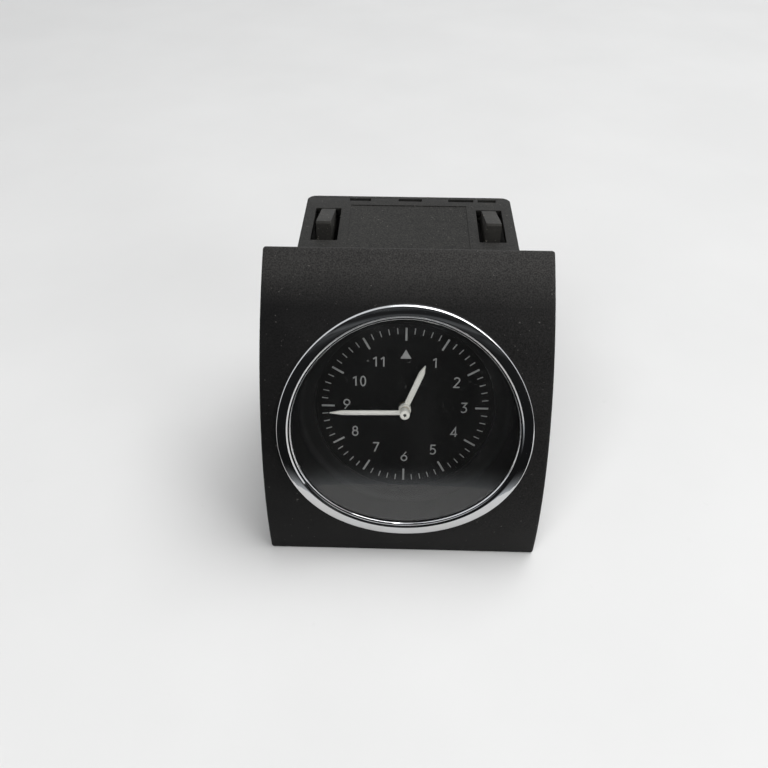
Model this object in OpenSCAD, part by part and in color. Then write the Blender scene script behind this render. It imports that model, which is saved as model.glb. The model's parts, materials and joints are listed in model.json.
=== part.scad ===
// Dashboard clock: a curved fascia panel with a chrome-ringed lens, a raked dial with two hands,
// a stepper movement behind the dial and a latched housing. The front faces -Y and +Z is up.
// The origin is at the middle of the clock's footprint, on the surface that it stands on.

/* [Panel] */
// Width of the front panel
panel_w = 88; // [80:1:100]
// Radius of the panel's curved front face
panel_r = 101.5; // [95:0.5:110]
// Wall of the panel
panel_t = 2.8; // [2:0.1:4]
// Angle of the panel's lower edge below its centre of curvature
panel_low = 4; // [2:0.5:6]
// Angle of the panel's upper edge above its centre of curvature
panel_high = 55.6; // [53:0.2:58]
// Depth of the rim round the panel's back
rim_depth = 6; // [4:0.5:8]
// Wall of that rim
rim_t = 2; // [1.2:0.1:3]
// Radius of the four screw bosses behind the panel
boss_r = 3; // [2.4:0.1:3.5]
// Length of those bosses behind the panel's wall
boss_len = 11; // [8:0.5:14]

/* [Lens and bezel] */
// Half width of the oval lens
lens_a = 36.3; // [35:0.1:38]
// Half height of the oval lens
lens_b = 35.1; // [34:0.1:37]
// Thickness of the lens
lens_t = 1.8; // [1.2:0.1:2.4]
// How far the lens face lies below the panel's face
lens_inset = 0.5; // [0.3:0.05:0.8]
// Gap between the lens edge and the panel's opening
lens_gap = 0.3; // [0.1:0.05:0.5]
// Thickness of the lens gasket
gasket_t = 0.8; // [0.5:0.1:1.2]
// Width of the bezel ring
bezel_w = 4.5; // [3.5:0.1:6]
// How far the bezel's lip covers the lens edge
bezel_lip = 1.6; // [1.2:0.1:2]
// Height of the bezel above the panel's face
bezel_h = 1.5; // [1:0.1:2.5]

/* [Dial] */
// Angle on the panel at which the hands' axis passes through it
dial_at = 23.5; // [22:0.1:25]
// Lean of the dial back from upright
dial_rake = 19; // [17:0.5:21]
// Depth of the dial behind the panel's face, along the hands' axis
dial_depth = 19.7; // [18:0.1:22]
// Radius of the round opening in the dial's surround
aperture_r = 29.4; // [28:0.1:30]
// Radius of the dial, the light guide and the lamp board
dial_r = 30.8; // [30.2:0.1:31.2]
// Thickness of the dial
dial_t = 0.8; // [0.5:0.1:1.2]
// Thickness of the surround's face plate
mask_t = 1.6; // [1:0.1:2.5]
// Wall of the surround's tunnel and rim
surround_t = 1.2; // [1:0.1:1.5]
// Outer radius of the ring of ticks
tick_r = 27.25; // [25:0.05:28]
// Length of an hour tick
hour_tick_len = 4.25; // [3:0.05:5]
// Width of an hour tick
hour_tick_w = 0.65; // [0.4:0.05:1]
// Length of a minute tick
minute_tick_len = 2; // [1:0.05:3]
// Width of a minute tick
minute_tick_w = 0.3; // [0.2:0.05:0.5]
// Radius at the foot of the twelve o'clock triangle
triangle_r = 16.9; // [15:0.1:18]
// Width of that triangle
triangle_w = 3.5; // [2:0.1:5]
// Height of that triangle
triangle_h = 3.1; // [2:0.1:4]
// Thickness of the printed marks
print_t = 0.08; // [0.05:0.01:0.15]

/* [Hands] */
// Minutes after twelve that the hands show
shown_minutes = 44.8; // [0:0.2:720]
// Length of the minute hand
minute_len = 24.3; // [20:0.1:26]
// Width of the minute hand
minute_w = 1.5; // [1:0.1:2.5]
// Length of the hour hand
hour_len = 16.4; // [12:0.1:20]
// Width of the hour hand
hour_w = 1.9; // [1:0.1:2.5]
// Thickness of the hands
hand_t = 0.6; // [0.4:0.1:0.9]
// Length of a hand's pointed tip
tip_len = 4; // [2:0.1:6]
// Height of the hour hand above the dial
hour_rise = 1.6; // [1.4:0.1:2]
// Radius of the hour hand's hub
hour_hub_r = 2.25; // [2.1:0.05:2.6]
// Height of the hour hand's hub
hour_hub_h = 1.9; // [1.6:0.1:2.2]
// Gap between the hour hand's hub and the minute hand's
hub_gap = 0.5; // [0.3:0.1:0.8]
// Radius of the minute hand's hub
minute_hub_r = 1.6; // [1.4:0.05:2]
// Height of the minute hand's hub
minute_hub_h = 3; // [2.4:0.1:3.6]

/* [Movement] */
// Gear module of the twelve-to-one motion work
motion_module = 0.35; // [0.34:0.01:0.36]
// Gear module of the motor's reduction train
train_module = 0.29; // [0.285:0.005:0.3]
// Play between meshing gear teeth
backlash = 0.09; // [0.06:0.01:0.12]
// Radius of the minute arbor
arbor_r = 1; // [0.9:0.05:1.1]
// Wall of the hour tube
tube_t = 0.45; // [0.4:0.05:0.55]
// Radius of the pivots at the arbors' ends
pivot_r = 0.45; // [0.35:0.05:0.5]
// Running clearance round shafts and pivots
run_gap = 0.05; // [0.03:0.01:0.08]
// Thickness of the light guide's face
guide_t = 2.8; // [2:0.1:3.5]
// Depth of the lamps' space behind the light guide
lamp_space = 1; // [0.9:0.1:1.5]
// Thickness of the two circuit boards
board_t = 1.6; // [1:0.1:2]
// Half width of the movement's square front plate
front_plate_a = 27; // [26.5:0.1:28]
// Thickness of the movement's plates
plate_t = 1.2; // [1:0.1:1.5]
// Space between the movement's plates
plate_space = 11.2; // [11.2:0.1:12.5]
// Thickness of a gear wheel
wheel_t = 1.2; // [1:0.05:1.2]
// Radius of the motor's magnet
magnet_r = 2.2; // [1.8:0.1:2.4]

/* [Housing] */
// Width of the housing
housing_w = 70.5; // [69:0.5:72]
// Wall of the housing
housing_t = 2; // [1.6:0.1:2.4]
// Depth of the clock from the panel's face to the rear cover's back
body_depth = 89.3; // [86:0.1:95]
// Drop of the housing's top below the panel's upper edge
top_drop = 7; // [6:0.1:9]
// Height of the housing's base above the panel's lower edge
base_lift = 5.5; // [4.5:0.1:6]
// Wall of the collar round the dial's surround
collar_t = 1.8; // [1.4:0.1:2]
// Thickness of the rear cover
cover_t = 1.6; // [1.6:0.1:2.5]
// Height of the ribs and rails on the housing and the rear cover
rail_t = 1; // [0.6:0.1:1.2]
// Distance of the panel screws out from the housing's wall
ear_reach = 4.25; // [4:0.05:4.8]
// Thickness of the ears that take the panel screws
ear_t = 2.5; // [2:0.1:4]
// Radius of the panel screws
panel_screw_r = 1.3; // [1:0.1:1.5]

/* [Latches] */
// Distance of each latch from the middle
latch_x = 27.3; // [26:0.1:28]
// Width of a latch
latch_w = 4.8; // [4:0.1:5.5]
// Height of a latch's hook above the housing
hook_h = 5.4; // [4:0.1:6]
// Width of a latch's slot
slot_w = 8.7; // [8:0.1:9.5]
// Length of a latch's slot
slot_len = 20.9; // [19:0.1:22]
// Distance of the slot's back end from the rear cover's back
slot_back = 8.9; // [8.5:0.1:10]
// Radius of the latch's hinge pin
hinge_r = 0.8; // [0.6:0.05:0.9]

/* [Connector] */
// Width of the connector's shell
plug_w = 22; // [18:0.5:26]
// Height of the connector's shell
plug_h = 11; // [10:0.5:13]
// Wall of the connector's shell
plug_t = 1.2; // [1:0.1:1.6]
// How far the connector's shell stands out behind the rear cover
plug_out = 2; // [1:0.5:4]
// Number of pins in each of the connector's two rows
plug_pins = 5; // [3:1:6]
// Width of the main circuit board
main_board_w = 60; // [56:1:62]
// Height of the main circuit board
main_board_h = 48; // [44:1:52]
// Space between the main circuit board and the rear cover
board_space = 15; // [13:0.5:17]

/* [Hidden] */
$fn = 64;

// The panel's centre of curvature, seen from the dial and then in place: the panel's lower edge is
// on the ground, and the clock is centred on Y between the bezel's crown and the connector
crown_share = 0.66;
axis_depth = panel_r * cos(dial_at - dial_rake) - dial_depth;
axis_up = -panel_r * sin(dial_at - dial_rake);
crown_up = -(lens_b - bezel_lip + crown_share * bezel_w);
crown_angle = dial_rake + asin((crown_up - axis_up) / (panel_r + bezel_h));
front_reach = max(panel_r, (panel_r + bezel_h) * cos(crown_angle));
axis_y = (front_reach + panel_r - body_depth - plug_out) / 2;
axis_z = panel_r * sin(panel_low);
front_y = axis_y - panel_r;
panel_top_z = axis_z + panel_r * sin(panel_high);
reach = panel_r * 2;

// The dial's centre
dial_y = axis_y - panel_r * cos(dial_at) + dial_depth * cos(dial_rake);
dial_z = axis_z + panel_r * sin(dial_at) - dial_depth * sin(dial_rake);

// How far cuts run past the face that they start from, and the clearances of pieces that fit together
past = 1;
fit_gap = 0.2;
seat_gap = 0.05;

// Ovals round the hands' axis, as half width and half height
function grown(by) = [lens_a + by, lens_b + by];
oval_sides = 120;
lens_front = -dial_depth - panel_r / 10;
bezel_in = grown(-bezel_lip);
bezel_out = grown(bezel_w - bezel_lip);
collar_gap = 0.4;
collar_in = grown(collar_gap);
collar_out = grown(collar_gap + collar_t);

// Layers behind the dial's face
guide_z = dial_t;
lamp_z = guide_z + guide_t;
lamp_board_z = lamp_z + lamp_space;
front_plate_z = lamp_board_z + board_t;
train_z = front_plate_z + plate_t;
rear_plate_z = train_z + plate_space;
rear_plate_back = rear_plate_z + plate_t;

// Gear counts and centre distances
cannon_teeth = 15;
minute_wheel_teeth = 45;
minute_pinion_teeth = 12;
hour_wheel_teeth = 48;
drive_teeth = 60;
reduction_pinion_teeth = 10;
reduction_teeth = 50;
rotor_pinion_teeth = 10;
function gap_of(a, b, m) = (a + b) * m / 2;
function polar(r, a) = [r * cos(a), r * sin(a)];
motion_angle = 180;
drive_angle = -35;
rotor_angle = 30;
minute_wheel_at = polar(gap_of(cannon_teeth, minute_wheel_teeth, motion_module), motion_angle);
reduction_at = polar(gap_of(drive_teeth, reduction_pinion_teeth, train_module), drive_angle);
rotor_at = reduction_at
  + polar(gap_of(reduction_teeth, rotor_pinion_teeth, train_module), rotor_angle);

// Heights of the gears in the movement, from the front plate's back
float_gap = 0.3;
step_gap = 0.45;
gear_lift = 0.5;
pinion_over = 0.4;
drive_gap = 1.1;
reduction_gap = 0.8;
hour_wheel_z = train_z + gear_lift;
cannon_z = hour_wheel_z + wheel_t + step_gap;
minute_wheel_z = cannon_z + pinion_over;
drive_z = minute_wheel_z + wheel_t + drive_gap;
reduction_z = drive_z + wheel_t + reduction_gap;

// Shafts and hubs
tube_in_r = arbor_r + run_gap;
tube_r = tube_in_r + tube_t;
bush_t = 1;
hub_seat_r = 0.6;
hub_recess = 0.7;
hour_hub_back = -(hour_rise - hand_t / 2);
hour_hub_front = hour_hub_back - hour_hub_h;
minute_hub_back = hour_hub_front - hub_gap;
minute_hub_front = minute_hub_back - minute_hub_h;
minute_bar_lift = 0.6;
minute_bar_z = minute_hub_back - minute_bar_lift - hand_t;
stout_arbor_r = 2 * pivot_r;
slim_arbor_r = 1.6 * pivot_r;
dial_hole_r = tube_r + 0.5;
board_hole_r = tube_r + 1;

// Movement plates and pillars
rim_r = dial_r + fit_gap + surround_t;
post_out = 2.4;
post_xy = (dial_r + surround_t + post_out) * sin(45);
post_r = 2.2;
small_screw_r = 0.8;
screw_play = 0.05;
head_r = 1.8;
head_h = 1;
pillar_xy = [20, 15];
pillar_r = 1.8;
pillar_foot_r = 2.4;
rear_plate_half = [23.4, 18];
corner_r = 2.5;

// Motor
stator_lift = 2.2;
stator_z = train_z + stator_lift;
stator_t = 1.8;
rotor_gap = 0.4;
stator_reach = 4.4;
stator_edge = 3.2;
window_w = 2.6;
core_w = 2.6;
stator_x = rotor_at[0] - stator_reach;
window_x = rotor_at[0] + stator_reach;
core_x = window_x + window_w;
stator_half = pillar_xy[1] + stator_edge;
window_half = 10.6;
coil_half = 9.4;
coil_wrap = 2.1;

// Housing
half_w = housing_w / 2;
base_z = base_lift;
top_z = panel_top_z - top_drop;
mid_z = (base_z + top_z) / 2;
rear_y = front_y + body_depth;
cover_y = rear_y - cover_t;
inner_half = half_w - housing_t;
inner_base = base_z + housing_t;
inner_top = top_z - housing_t;

// Panel screws: behind the panel, two high and two low
ear_x = half_w + ear_reach;
ear_half = 3.4;
ear_up = 6;
ear_down = 6.6;
ear_z = [base_z + ear_up, top_z - ear_down];
function wall_y(z) = axis_y - sqrt(pow(panel_r - panel_t, 2) - pow(z - axis_z, 2));

// Latches
slot_end = rear_y - slot_back;
hinge_back = 1.2;
hinge_drop = 1.9;
hinge_y = slot_end + hinge_back;
hinge_z = inner_top - hinge_drop;
eye_r = 1.7;
cheek_t = 1.6;
cheek_in = slot_w / 2;
hook_gap = 1;
hook_lean = 1;
hook_y = slot_end - slot_len + hook_gap;

// Openings that the rear cover's tongues snap into, as middle and width
snaps = [[-16.8, 7.4], [0.6, 8.1], [18.2, 8.8], [27.2, 6.3]];
snap_len = 1.7;
snap_drop = 1.2;
tongue_t = 1.2;
tongue_len = cover_y - hinge_y - 2 * eye_r - fit_gap;

// Connector and main board
plug_drop = 10;
plug_z = mid_z - plug_drop;
plug_base = 3;
plug_end = rear_y + plug_out;
board_back = cover_y - board_space;
board_front = board_back - board_t;
pin_r = 0.35;
pin_pitch = 3.2;
pin_tail = 1.2;
pin_out = 8;
pin_reach = plug_base + pin_out;
standoff_r = 2.5;
standoff_in = 4;
standoff_at = [main_board_w / 2 - standoff_in, main_board_h / 2 - standoff_in];

// Places things in the dial's frame: X right, Y down the dial, Z into the dashboard
module at_dial() {
  translate([0, dial_y, dial_z])
    rotate([-90 - dial_rake, 0, 0])
      children();
}

// Extrudes a side view, drawn as Y and Z, across the width
module across(w) {
  rotate([90, 0, 90])
    linear_extrude(w, center = true)
      children();
}

// Extrudes a rear view, drawn as X and Z, from y towards the back
module rearward(y, len) {
  translate([0, y + len, 0])
    rotate([90, 0, 0])
      linear_extrude(len)
        children();
}

module ring(r_out, r_in, z, h) {
  translate([0, 0, z])
    difference() {
      cylinder(r = r_out, h = h);
      translate([0, 0, -past])
        cylinder(r = r_in, h = h + 2 * past);
    }
}

module rounded(half_x, half_y, r) {
  square([2 * half_x, 2 * (half_y - r)], center = true);
  square([2 * (half_x - r), 2 * half_y], center = true);
  for (sx = [-1, 1], sy = [-1, 1])
    translate([sx * (half_x - r), sy * (half_y - r)])
      circle(r = r);
}

module oval(axes) {
  polygon([for (i = [0 : oval_sides - 1])
    let (a = 360 * i / oval_sides)
    [axes[0] * cos(a), axes[1] * sin(a)]]);
}

// An oval prism along the hands' axis, from one depth to another
module oval_prism(axes, from, to) {
  at_dial()
    translate([0, 0, from])
      linear_extrude(to - from)
        oval(axes);
}

// A solid cylinder round the panel's centre of curvature
module drum(r) {
  translate([0, axis_y, axis_z])
    rotate([0, 90, 0])
      cylinder(r = r, h = panel_w * 1.5, center = true, $fn = 180);
}

// The side view of a curved shell between two radii, up to an angle and no lower than a height
module shell_view(r_out, r_in, high, lowest) {
  low = -3 * panel_low;
  sweep = high - low;
  intersection() {
    translate([axis_y, axis_z])
      difference() {
        circle(r = r_out, $fn = 180);
        circle(r = r_in, $fn = 180);
      }
    translate([axis_y, axis_z])
      polygon(concat([[0, 0]], [for (i = [0 : 6])
        let (a = low + sweep * i / 6)
        [-reach * cos(a), reach * sin(a)]]));
    translate([axis_y - reach, lowest])
      square([2 * reach, reach]);
  }
}

// Four places, mirrored left and right, at two heights
module at_ears() {
  for (side = [-1, 1], z = ear_z)
    translate([side * ear_x, wall_y(z), z])
      children();
}

module front_panel() {
  wall_angle = asin(rim_t / panel_r);
  color([0.16, 0.16, 0.165])
    difference() {
      union() {
        difference() {
          across(panel_w)
            shell_view(panel_r, panel_r - rim_depth, panel_high, 0);
          across(panel_w - 2 * rim_t)
            shell_view(panel_r - panel_t, panel_r - rim_depth - past, panel_high - wall_angle, rim_t);
        }
        intersection() {
          drum(panel_r - panel_t / 2);
          at_ears()
            translate([0, boss_len, 0])
              rotate([90, 0, 0])
                cylinder(r = boss_r, h = boss_len + 2 * panel_t);
        }
      }
      oval_prism(grown(lens_gap), lens_front, -past);
      at_ears()
        translate([0, boss_len + past, 0])
          rotate([90, 0, 0])
            cylinder(r = panel_screw_r + screw_play, h = boss_len);
    }
}

// The bezel's section: share of the ring's width from its inner edge, and height over the panel
bezel_seat = 0.02;
bezel_foot = seat_gap - lens_inset;
skirt_gap = 0.1;
skirt_share = (bezel_lip - skirt_gap) / bezel_w;
bezel_section = [
  [0, bezel_foot], [0, 0.25 * bezel_h], [0.05, 0.5 * bezel_h], [0.13, 0.62 * bezel_h],
  [0.22, 0.6 * bezel_h], [0.32, 0.72 * bezel_h], [0.48, 0.92 * bezel_h], [crown_share, bezel_h],
  [0.82, 0.9 * bezel_h], [0.94, 0.6 * bezel_h], [1, 0.25 * bezel_h], [1, bezel_seat],
  [skirt_share, bezel_seat], [skirt_share, bezel_foot]
];

function depth_on_panel(up, h) =
  axis_depth - sqrt(pow(panel_r + h, 2) - pow(up - axis_up, 2));

function bezel_point(t, p) =
  let (
    axes = bezel_in + p[0] * (bezel_out - bezel_in),
    up = axes[1] * sin(t)
  )
  [axes[0] * cos(t), -up, depth_on_panel(up, p[1])];

module bezel_ring() {
  n = len(bezel_section);
  points = [for (i = [0 : oval_sides - 1], p = bezel_section) bezel_point(360 * i / oval_sides, p)];
  faces = [for (i = [0 : oval_sides - 1], j = [0 : n - 1])
    let (
      here = i * n,
      next = ((i + 1) % oval_sides) * n,
      k = (j + 1) % n
    )
    each [[here + j, here + k, next + k], [here + j, next + k, next + j]]];
  color([0.78, 0.79, 0.8])
    at_dial()
      polyhedron(points = points, faces = faces, convexity = 6);
}

module lens() {
  color([0.75, 0.8, 0.82, 0.3])
    intersection() {
      oval_prism(grown(0), lens_front, -past);
      difference() {
        drum(panel_r - lens_inset);
        drum(panel_r - lens_inset - lens_t);
      }
    }
}

gasket_r = panel_r - lens_inset - lens_t;

module lens_gasket() {
  color([0.08, 0.08, 0.08])
    intersection() {
      difference() {
        oval_prism(grown(0), lens_front, -past);
        oval_prism(grown(-surround_t), lens_front - past, 0);
      }
      difference() {
        drum(gasket_r);
        drum(gasket_r - gasket_t);
      }
    }
}

// Four places on the diagonals of the dial
module at_posts() {
  for (sx = [-1, 1], sy = [-1, 1])
    translate([sx * post_xy, sy * post_xy, 0])
      children();
}

module dial_surround() {
  color([0.03, 0.03, 0.032]) {
    intersection() {
      difference() {
        oval_prism(grown(0), lens_front, 0);
        oval_prism(grown(-surround_t), lens_front - past, -mask_t);
        at_dial()
          translate([0, 0, -mask_t - past])
            cylinder(r = aperture_r, h = mask_t + 2 * past, $fn = 120);
      }
      drum(gasket_r - gasket_t);
    }
    at_dial() {
      ring(rim_r, dial_r + fit_gap, 0, front_plate_z);
      at_posts()
        ring(post_r, small_screw_r + screw_play, 0, front_plate_z);
    }
  }
}

module dial() {
  color([0.09, 0.09, 0.092])
    at_dial()
      ring(dial_r, dial_hole_r, 0, dial_t);
}

module dial_marks() {
  color([0.88, 0.88, 0.86])
    at_dial()
      translate([0, 0, -print_t])
        linear_extrude(print_t) {
          for (i = [0 : 59])
            rotate(6 * i)
              translate([0, -tick_r])
                if (i % 5 == 0)
                  translate([-hour_tick_w / 2, 0])
                    square([hour_tick_w, hour_tick_len]);
                else
                  translate([-minute_tick_w / 2, 0])
                    square([minute_tick_w, minute_tick_len]);
          translate([0, -triangle_r])
            polygon([[-triangle_w / 2, 0], [triangle_w / 2, 0], [0, -triangle_h]]);
        }
}

module light_guide() {
  color([0.85, 0.88, 0.9, 0.6])
    at_dial() {
      ring(dial_r, board_hole_r, guide_z, guide_t);
      ring(dial_r, dial_r - surround_t, lamp_z, lamp_space);
    }
}

module lamp_board() {
  color([0.08, 0.3, 0.16])
    at_dial()
      ring(dial_r, board_hole_r, lamp_board_z, board_t);
}

lamp_size = [2, 1.4, 0.8];
lamp_count = 8;
lamp_in = 6;
lamp_ring_r = dial_r - lamp_in;

module lamps() {
  color([0.95, 0.93, 0.75])
    at_dial()
      for (i = [0 : lamp_count - 1])
        rotate(360 * (i + 0.5) / lamp_count)
          translate([lamp_ring_r, 0, lamp_board_z - lamp_size[2] / 2])
            cube(lamp_size, center = true);
}

ribbon_w = 10;
ribbon_t = 0.3;
ribbon_over = 1.4;
ribbon_lead = 4;
ribbon_drop = 6;
ribbon_up = front_plate_a + ribbon_over;
ribbon_z = mid_z + main_board_h / 2 - ribbon_drop;

// A point of the dial's side view, by depth and height, as Y and Z
function from_dial(depth, up) = [
  dial_y + depth * cos(dial_rake) + up * sin(dial_rake),
  dial_z - depth * sin(dial_rake) + up * cos(dial_rake)
];

module ribbon_cable() {
  start = from_dial(front_plate_z, ribbon_up);
  out = from_dial(front_plate_z + ribbon_lead, ribbon_up);
  route = [start, out, [board_front - ribbon_lead, ribbon_z], [board_front, ribbon_z]];
  lip = from_dial(front_plate_z, ribbon_up - ribbon_t);
  under = [for (i = [3 : -1 : 1]) route[i] - [0, ribbon_t]];
  color([0.75, 0.75, 0.72])
    across(ribbon_w)
      polygon(concat(route, under, [lip]));
}

// Involute gear outline with a tooth on the +X axis
pressure = 20;
function involute(r, rb) = r <= rb ? 0 : sqrt(pow(r / rb, 2) - 1) * 180 / PI - acos(rb / r);

function gear_outline(teeth, m, over, under) =
  let (
    rp = m * teeth / 2,
    rb = rp * cos(pressure),
    tip = rp + over * m,
    root = rp - under * m,
    start = max(rb, root),
    half = 90 / teeth - backlash / 4 / rp * 180 / PI + involute(rp, rb),
    radii = concat(root < rb ? [root] : [], [for (i = [0 : 3]) start + (tip - start) * i / 3]),
    n = len(radii) - 1
  )
  [for (k = [0 : teeth - 1], side = [-1, 1], i = [0 : n])
    let (
      r = radii[side < 0 ? i : n - i],
      a = 360 * k / teeth + side * (half - involute(r, rb))
    )
    [r * cos(a), r * sin(a)]];

wheel_over = 0.75;
wheel_under = 1.2;
pinion_tip = 0.8;
pinion_under = 1.15;

module wheel(teeth, m, z, h) {
  translate([0, 0, z])
    linear_extrude(h)
      polygon(gear_outline(teeth, m, wheel_over, wheel_under));
}

module pinion(teeth, m, z, h) {
  translate([0, 0, z])
    linear_extrude(h)
      polygon(gear_outline(teeth, m, pinion_tip, pinion_under));
}

// An arbor between the movement's plates, with a pivot at each end
module arbor(r) {
  translate([0, 0, train_z + float_gap])
    cylinder(r = r, h = plate_space - 2 * float_gap);
  translate([0, 0, front_plate_z + float_gap])
    cylinder(r = pivot_r, h = rear_plate_back - front_plate_z - 2 * float_gap);
}

module at_pillars() {
  for (sx = [-1, 1], sy = [-1, 1])
    translate([sx * pillar_xy[0], sy * pillar_xy[1], 0])
      children();
}

module plate_holes(z) {
  for (p = [minute_wheel_at, reduction_at, rotor_at])
    translate([p[0], p[1], z - past])
      cylinder(r = pivot_r + run_gap, h = plate_t + 2 * past);
}

module movement_front_plate() {
  color([0.72, 0.6, 0.32])
    at_dial()
      difference() {
        translate([0, 0, front_plate_z])
          linear_extrude(plate_t)
            rounded(front_plate_a, front_plate_a, corner_r);
        translate([0, 0, front_plate_z - past])
          cylinder(r = tube_r + run_gap + bush_t, h = plate_t + 2 * past);
        plate_holes(front_plate_z);
        at_posts()
          translate([0, 0, front_plate_z - past])
            cylinder(r = small_screw_r + screw_play, h = plate_t + 2 * past);
      }
}

module movement_rear_plate() {
  color([0.72, 0.6, 0.32])
    at_dial()
      difference() {
        translate([0, 0, rear_plate_z])
          linear_extrude(plate_t)
            rounded(rear_plate_half[0], rear_plate_half[1], corner_r);
        translate([0, 0, rear_plate_z - past])
          cylinder(r = hub_seat_r + run_gap, h = plate_t + 2 * past);
        plate_holes(rear_plate_z);
        at_pillars()
          translate([0, 0, rear_plate_z - past])
            cylinder(r = small_screw_r + screw_play, h = plate_t + 2 * past);
      }
}

module movement_pillars() {
  color([0.8, 0.68, 0.4])
    at_dial()
      at_pillars()
        difference() {
          union() {
            translate([0, 0, train_z])
              cylinder(r = pillar_r, h = plate_space);
            translate([0, 0, train_z])
              cylinder(r = pillar_foot_r, h = stator_z - train_z);
          }
          translate([0, 0, rear_plate_z - plate_space / 2])
            cylinder(r = small_screw_r + screw_play, h = plate_space);
        }
}

module centre_bush() {
  color([0.8, 0.68, 0.4])
    at_dial()
      ring(tube_r + run_gap + bush_t, tube_r + run_gap, front_plate_z, plate_t);
}

module motor_stator() {
  color([0.5, 0.5, 0.52])
    at_dial()
      translate([0, 0, stator_z])
        linear_extrude(stator_t)
          difference() {
            translate([stator_x, -stator_half])
              square([core_x + core_w - stator_x, 2 * stator_half]);
            translate([window_x, -window_half])
              square([core_x - window_x, 2 * window_half]);
            translate(rotor_at)
              circle(r = magnet_r + rotor_gap);
            for (sy = [-1, 1])
              translate([pillar_xy[0], sy * pillar_xy[1]])
                circle(r = pillar_r + run_gap);
          }
}

module motor_coil() {
  wrap_x = core_w + 2 * coil_wrap;
  wrap_z = stator_t + 2 * coil_wrap;
  color([0.65, 0.33, 0.14])
    at_dial()
      translate([core_x + core_w / 2, 0, stator_z + stator_t / 2])
        rotate([90, 0, 0])
          linear_extrude(2 * coil_half, center = true)
            difference() {
              rounded(wrap_x / 2, wrap_z / 2, coil_wrap / 2);
              square([core_w + 2 * run_gap, stator_t + 2 * run_gap], center = true);
            }
}

// A bar that points to twelve, with a pointed tip
module hand_bar(length, w) {
  polygon([[-w / 2, 0], [w / 2, 0], [w / 2, tip_len - length], [0, -length], [-w / 2, tip_len - length]]);
}

module hand(length, w, bar_z, hub_r, bore_r, from, to) {
  difference() {
    union() {
      translate([0, 0, bar_z])
        linear_extrude(hand_t)
          hand_bar(length, w);
      translate([0, 0, from])
        cylinder(r = hub_r, h = to - from);
    }
    translate([0, 0, from - past])
      cylinder(r = bore_r, h = to - from + 2 * past);
  }
}

module minute_hand() {
  color([0.93, 0.92, 0.87])
    at_dial()
      rotate(6 * shown_minutes)
        hand(minute_len, minute_w, minute_bar_z, minute_hub_r, hub_seat_r, minute_hub_front, minute_hub_back);
}

module hour_hand() {
  color([0.93, 0.92, 0.87])
    at_dial()
      rotate(0.5 * shown_minutes)
        hand(hour_len, hour_w, hour_hub_back - hand_t, hour_hub_r, tube_r, hour_hub_front, hour_hub_back);
}

module minute_arbor() {
  body_end = rear_plate_z - float_gap;
  color([0.7, 0.7, 0.72])
    at_dial() {
      translate([0, 0, minute_hub_back])
        cylinder(r = arbor_r, h = body_end - minute_hub_back);
      translate([0, 0, minute_hub_front + hub_recess])
        cylinder(r = hub_seat_r, h = rear_plate_back - float_gap - minute_hub_front - hub_recess);
    }
}

module cannon_pinion() {
  color([0.8, 0.68, 0.4])
    at_dial()
      difference() {
        rotate(motion_angle)
          pinion(cannon_teeth, motion_module, cannon_z, wheel_t + 2 * pinion_over);
        translate([0, 0, cannon_z - past])
          cylinder(r = arbor_r, h = wheel_t + 2 * pinion_over + 2 * past);
      }
}

module drive_wheel() {
  color([0.8, 0.68, 0.4])
    at_dial()
      difference() {
        rotate(drive_angle)
          wheel(drive_teeth, train_module, drive_z, wheel_t);
        translate([0, 0, drive_z - past])
          cylinder(r = arbor_r, h = wheel_t + 2 * past);
      }
}

module hour_wheel() {
  color([0.8, 0.68, 0.4])
    at_dial()
      difference() {
        union() {
          rotate(motion_angle + 180 / hour_wheel_teeth)
            wheel(hour_wheel_teeth, motion_module, hour_wheel_z, wheel_t);
          translate([0, 0, hour_hub_front])
            cylinder(r = tube_r, h = hour_wheel_z + wheel_t - hour_hub_front);
        }
        translate([0, 0, hour_hub_front - past])
          cylinder(r = tube_in_r, h = hour_wheel_z + wheel_t - hour_hub_front + 2 * past);
      }
}

module minute_wheel() {
  color([0.8, 0.68, 0.4])
    at_dial()
      translate(minute_wheel_at) {
        rotate(motion_angle + 180 + 180 / minute_wheel_teeth)
          wheel(minute_wheel_teeth, motion_module, minute_wheel_z, wheel_t);
        rotate(motion_angle + 180)
          pinion(
            minute_pinion_teeth, motion_module, train_z + float_gap, minute_wheel_z - train_z - float_gap
          );
        arbor(stout_arbor_r);
      }
}

module reduction_wheel() {
  color([0.9, 0.9, 0.86])
    at_dial()
      translate(reduction_at) {
        rotate(drive_angle + 180 + 180 / reduction_pinion_teeth)
          pinion(reduction_pinion_teeth, train_module, drive_z - pinion_over, wheel_t + 2 * pinion_over);
        rotate(rotor_angle)
          wheel(reduction_teeth, train_module, reduction_z, wheel_t);
        arbor(slim_arbor_r);
      }
}

module motor_rotor() {
  magnet_over = 1;
  color([0.25, 0.25, 0.26])
    at_dial()
      translate(rotor_at) {
        translate([0, 0, stator_z - magnet_over])
          cylinder(r = magnet_r, h = stator_t + 2 * magnet_over);
        rotate(rotor_angle + 180 + 180 / rotor_pinion_teeth)
          pinion(rotor_pinion_teeth, train_module, reduction_z - pinion_over, wheel_t + 2 * pinion_over);
        arbor(slim_arbor_r);
      }
}

// Four places on the main board
module at_standoffs() {
  for (sx = [-1, 1], sz = [-1, 1])
    translate([sx * standoff_at[0], 0, mid_z + sz * standoff_at[1]])
      children();
}

// The connector's pins, two rows seen from the rear
module at_pins() {
  for (i = [0 : plug_pins - 1], row = [-1, 1])
    translate([(i - (plug_pins - 1) / 2) * pin_pitch, plug_z + row * pin_pitch / 2])
      children();
}

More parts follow.
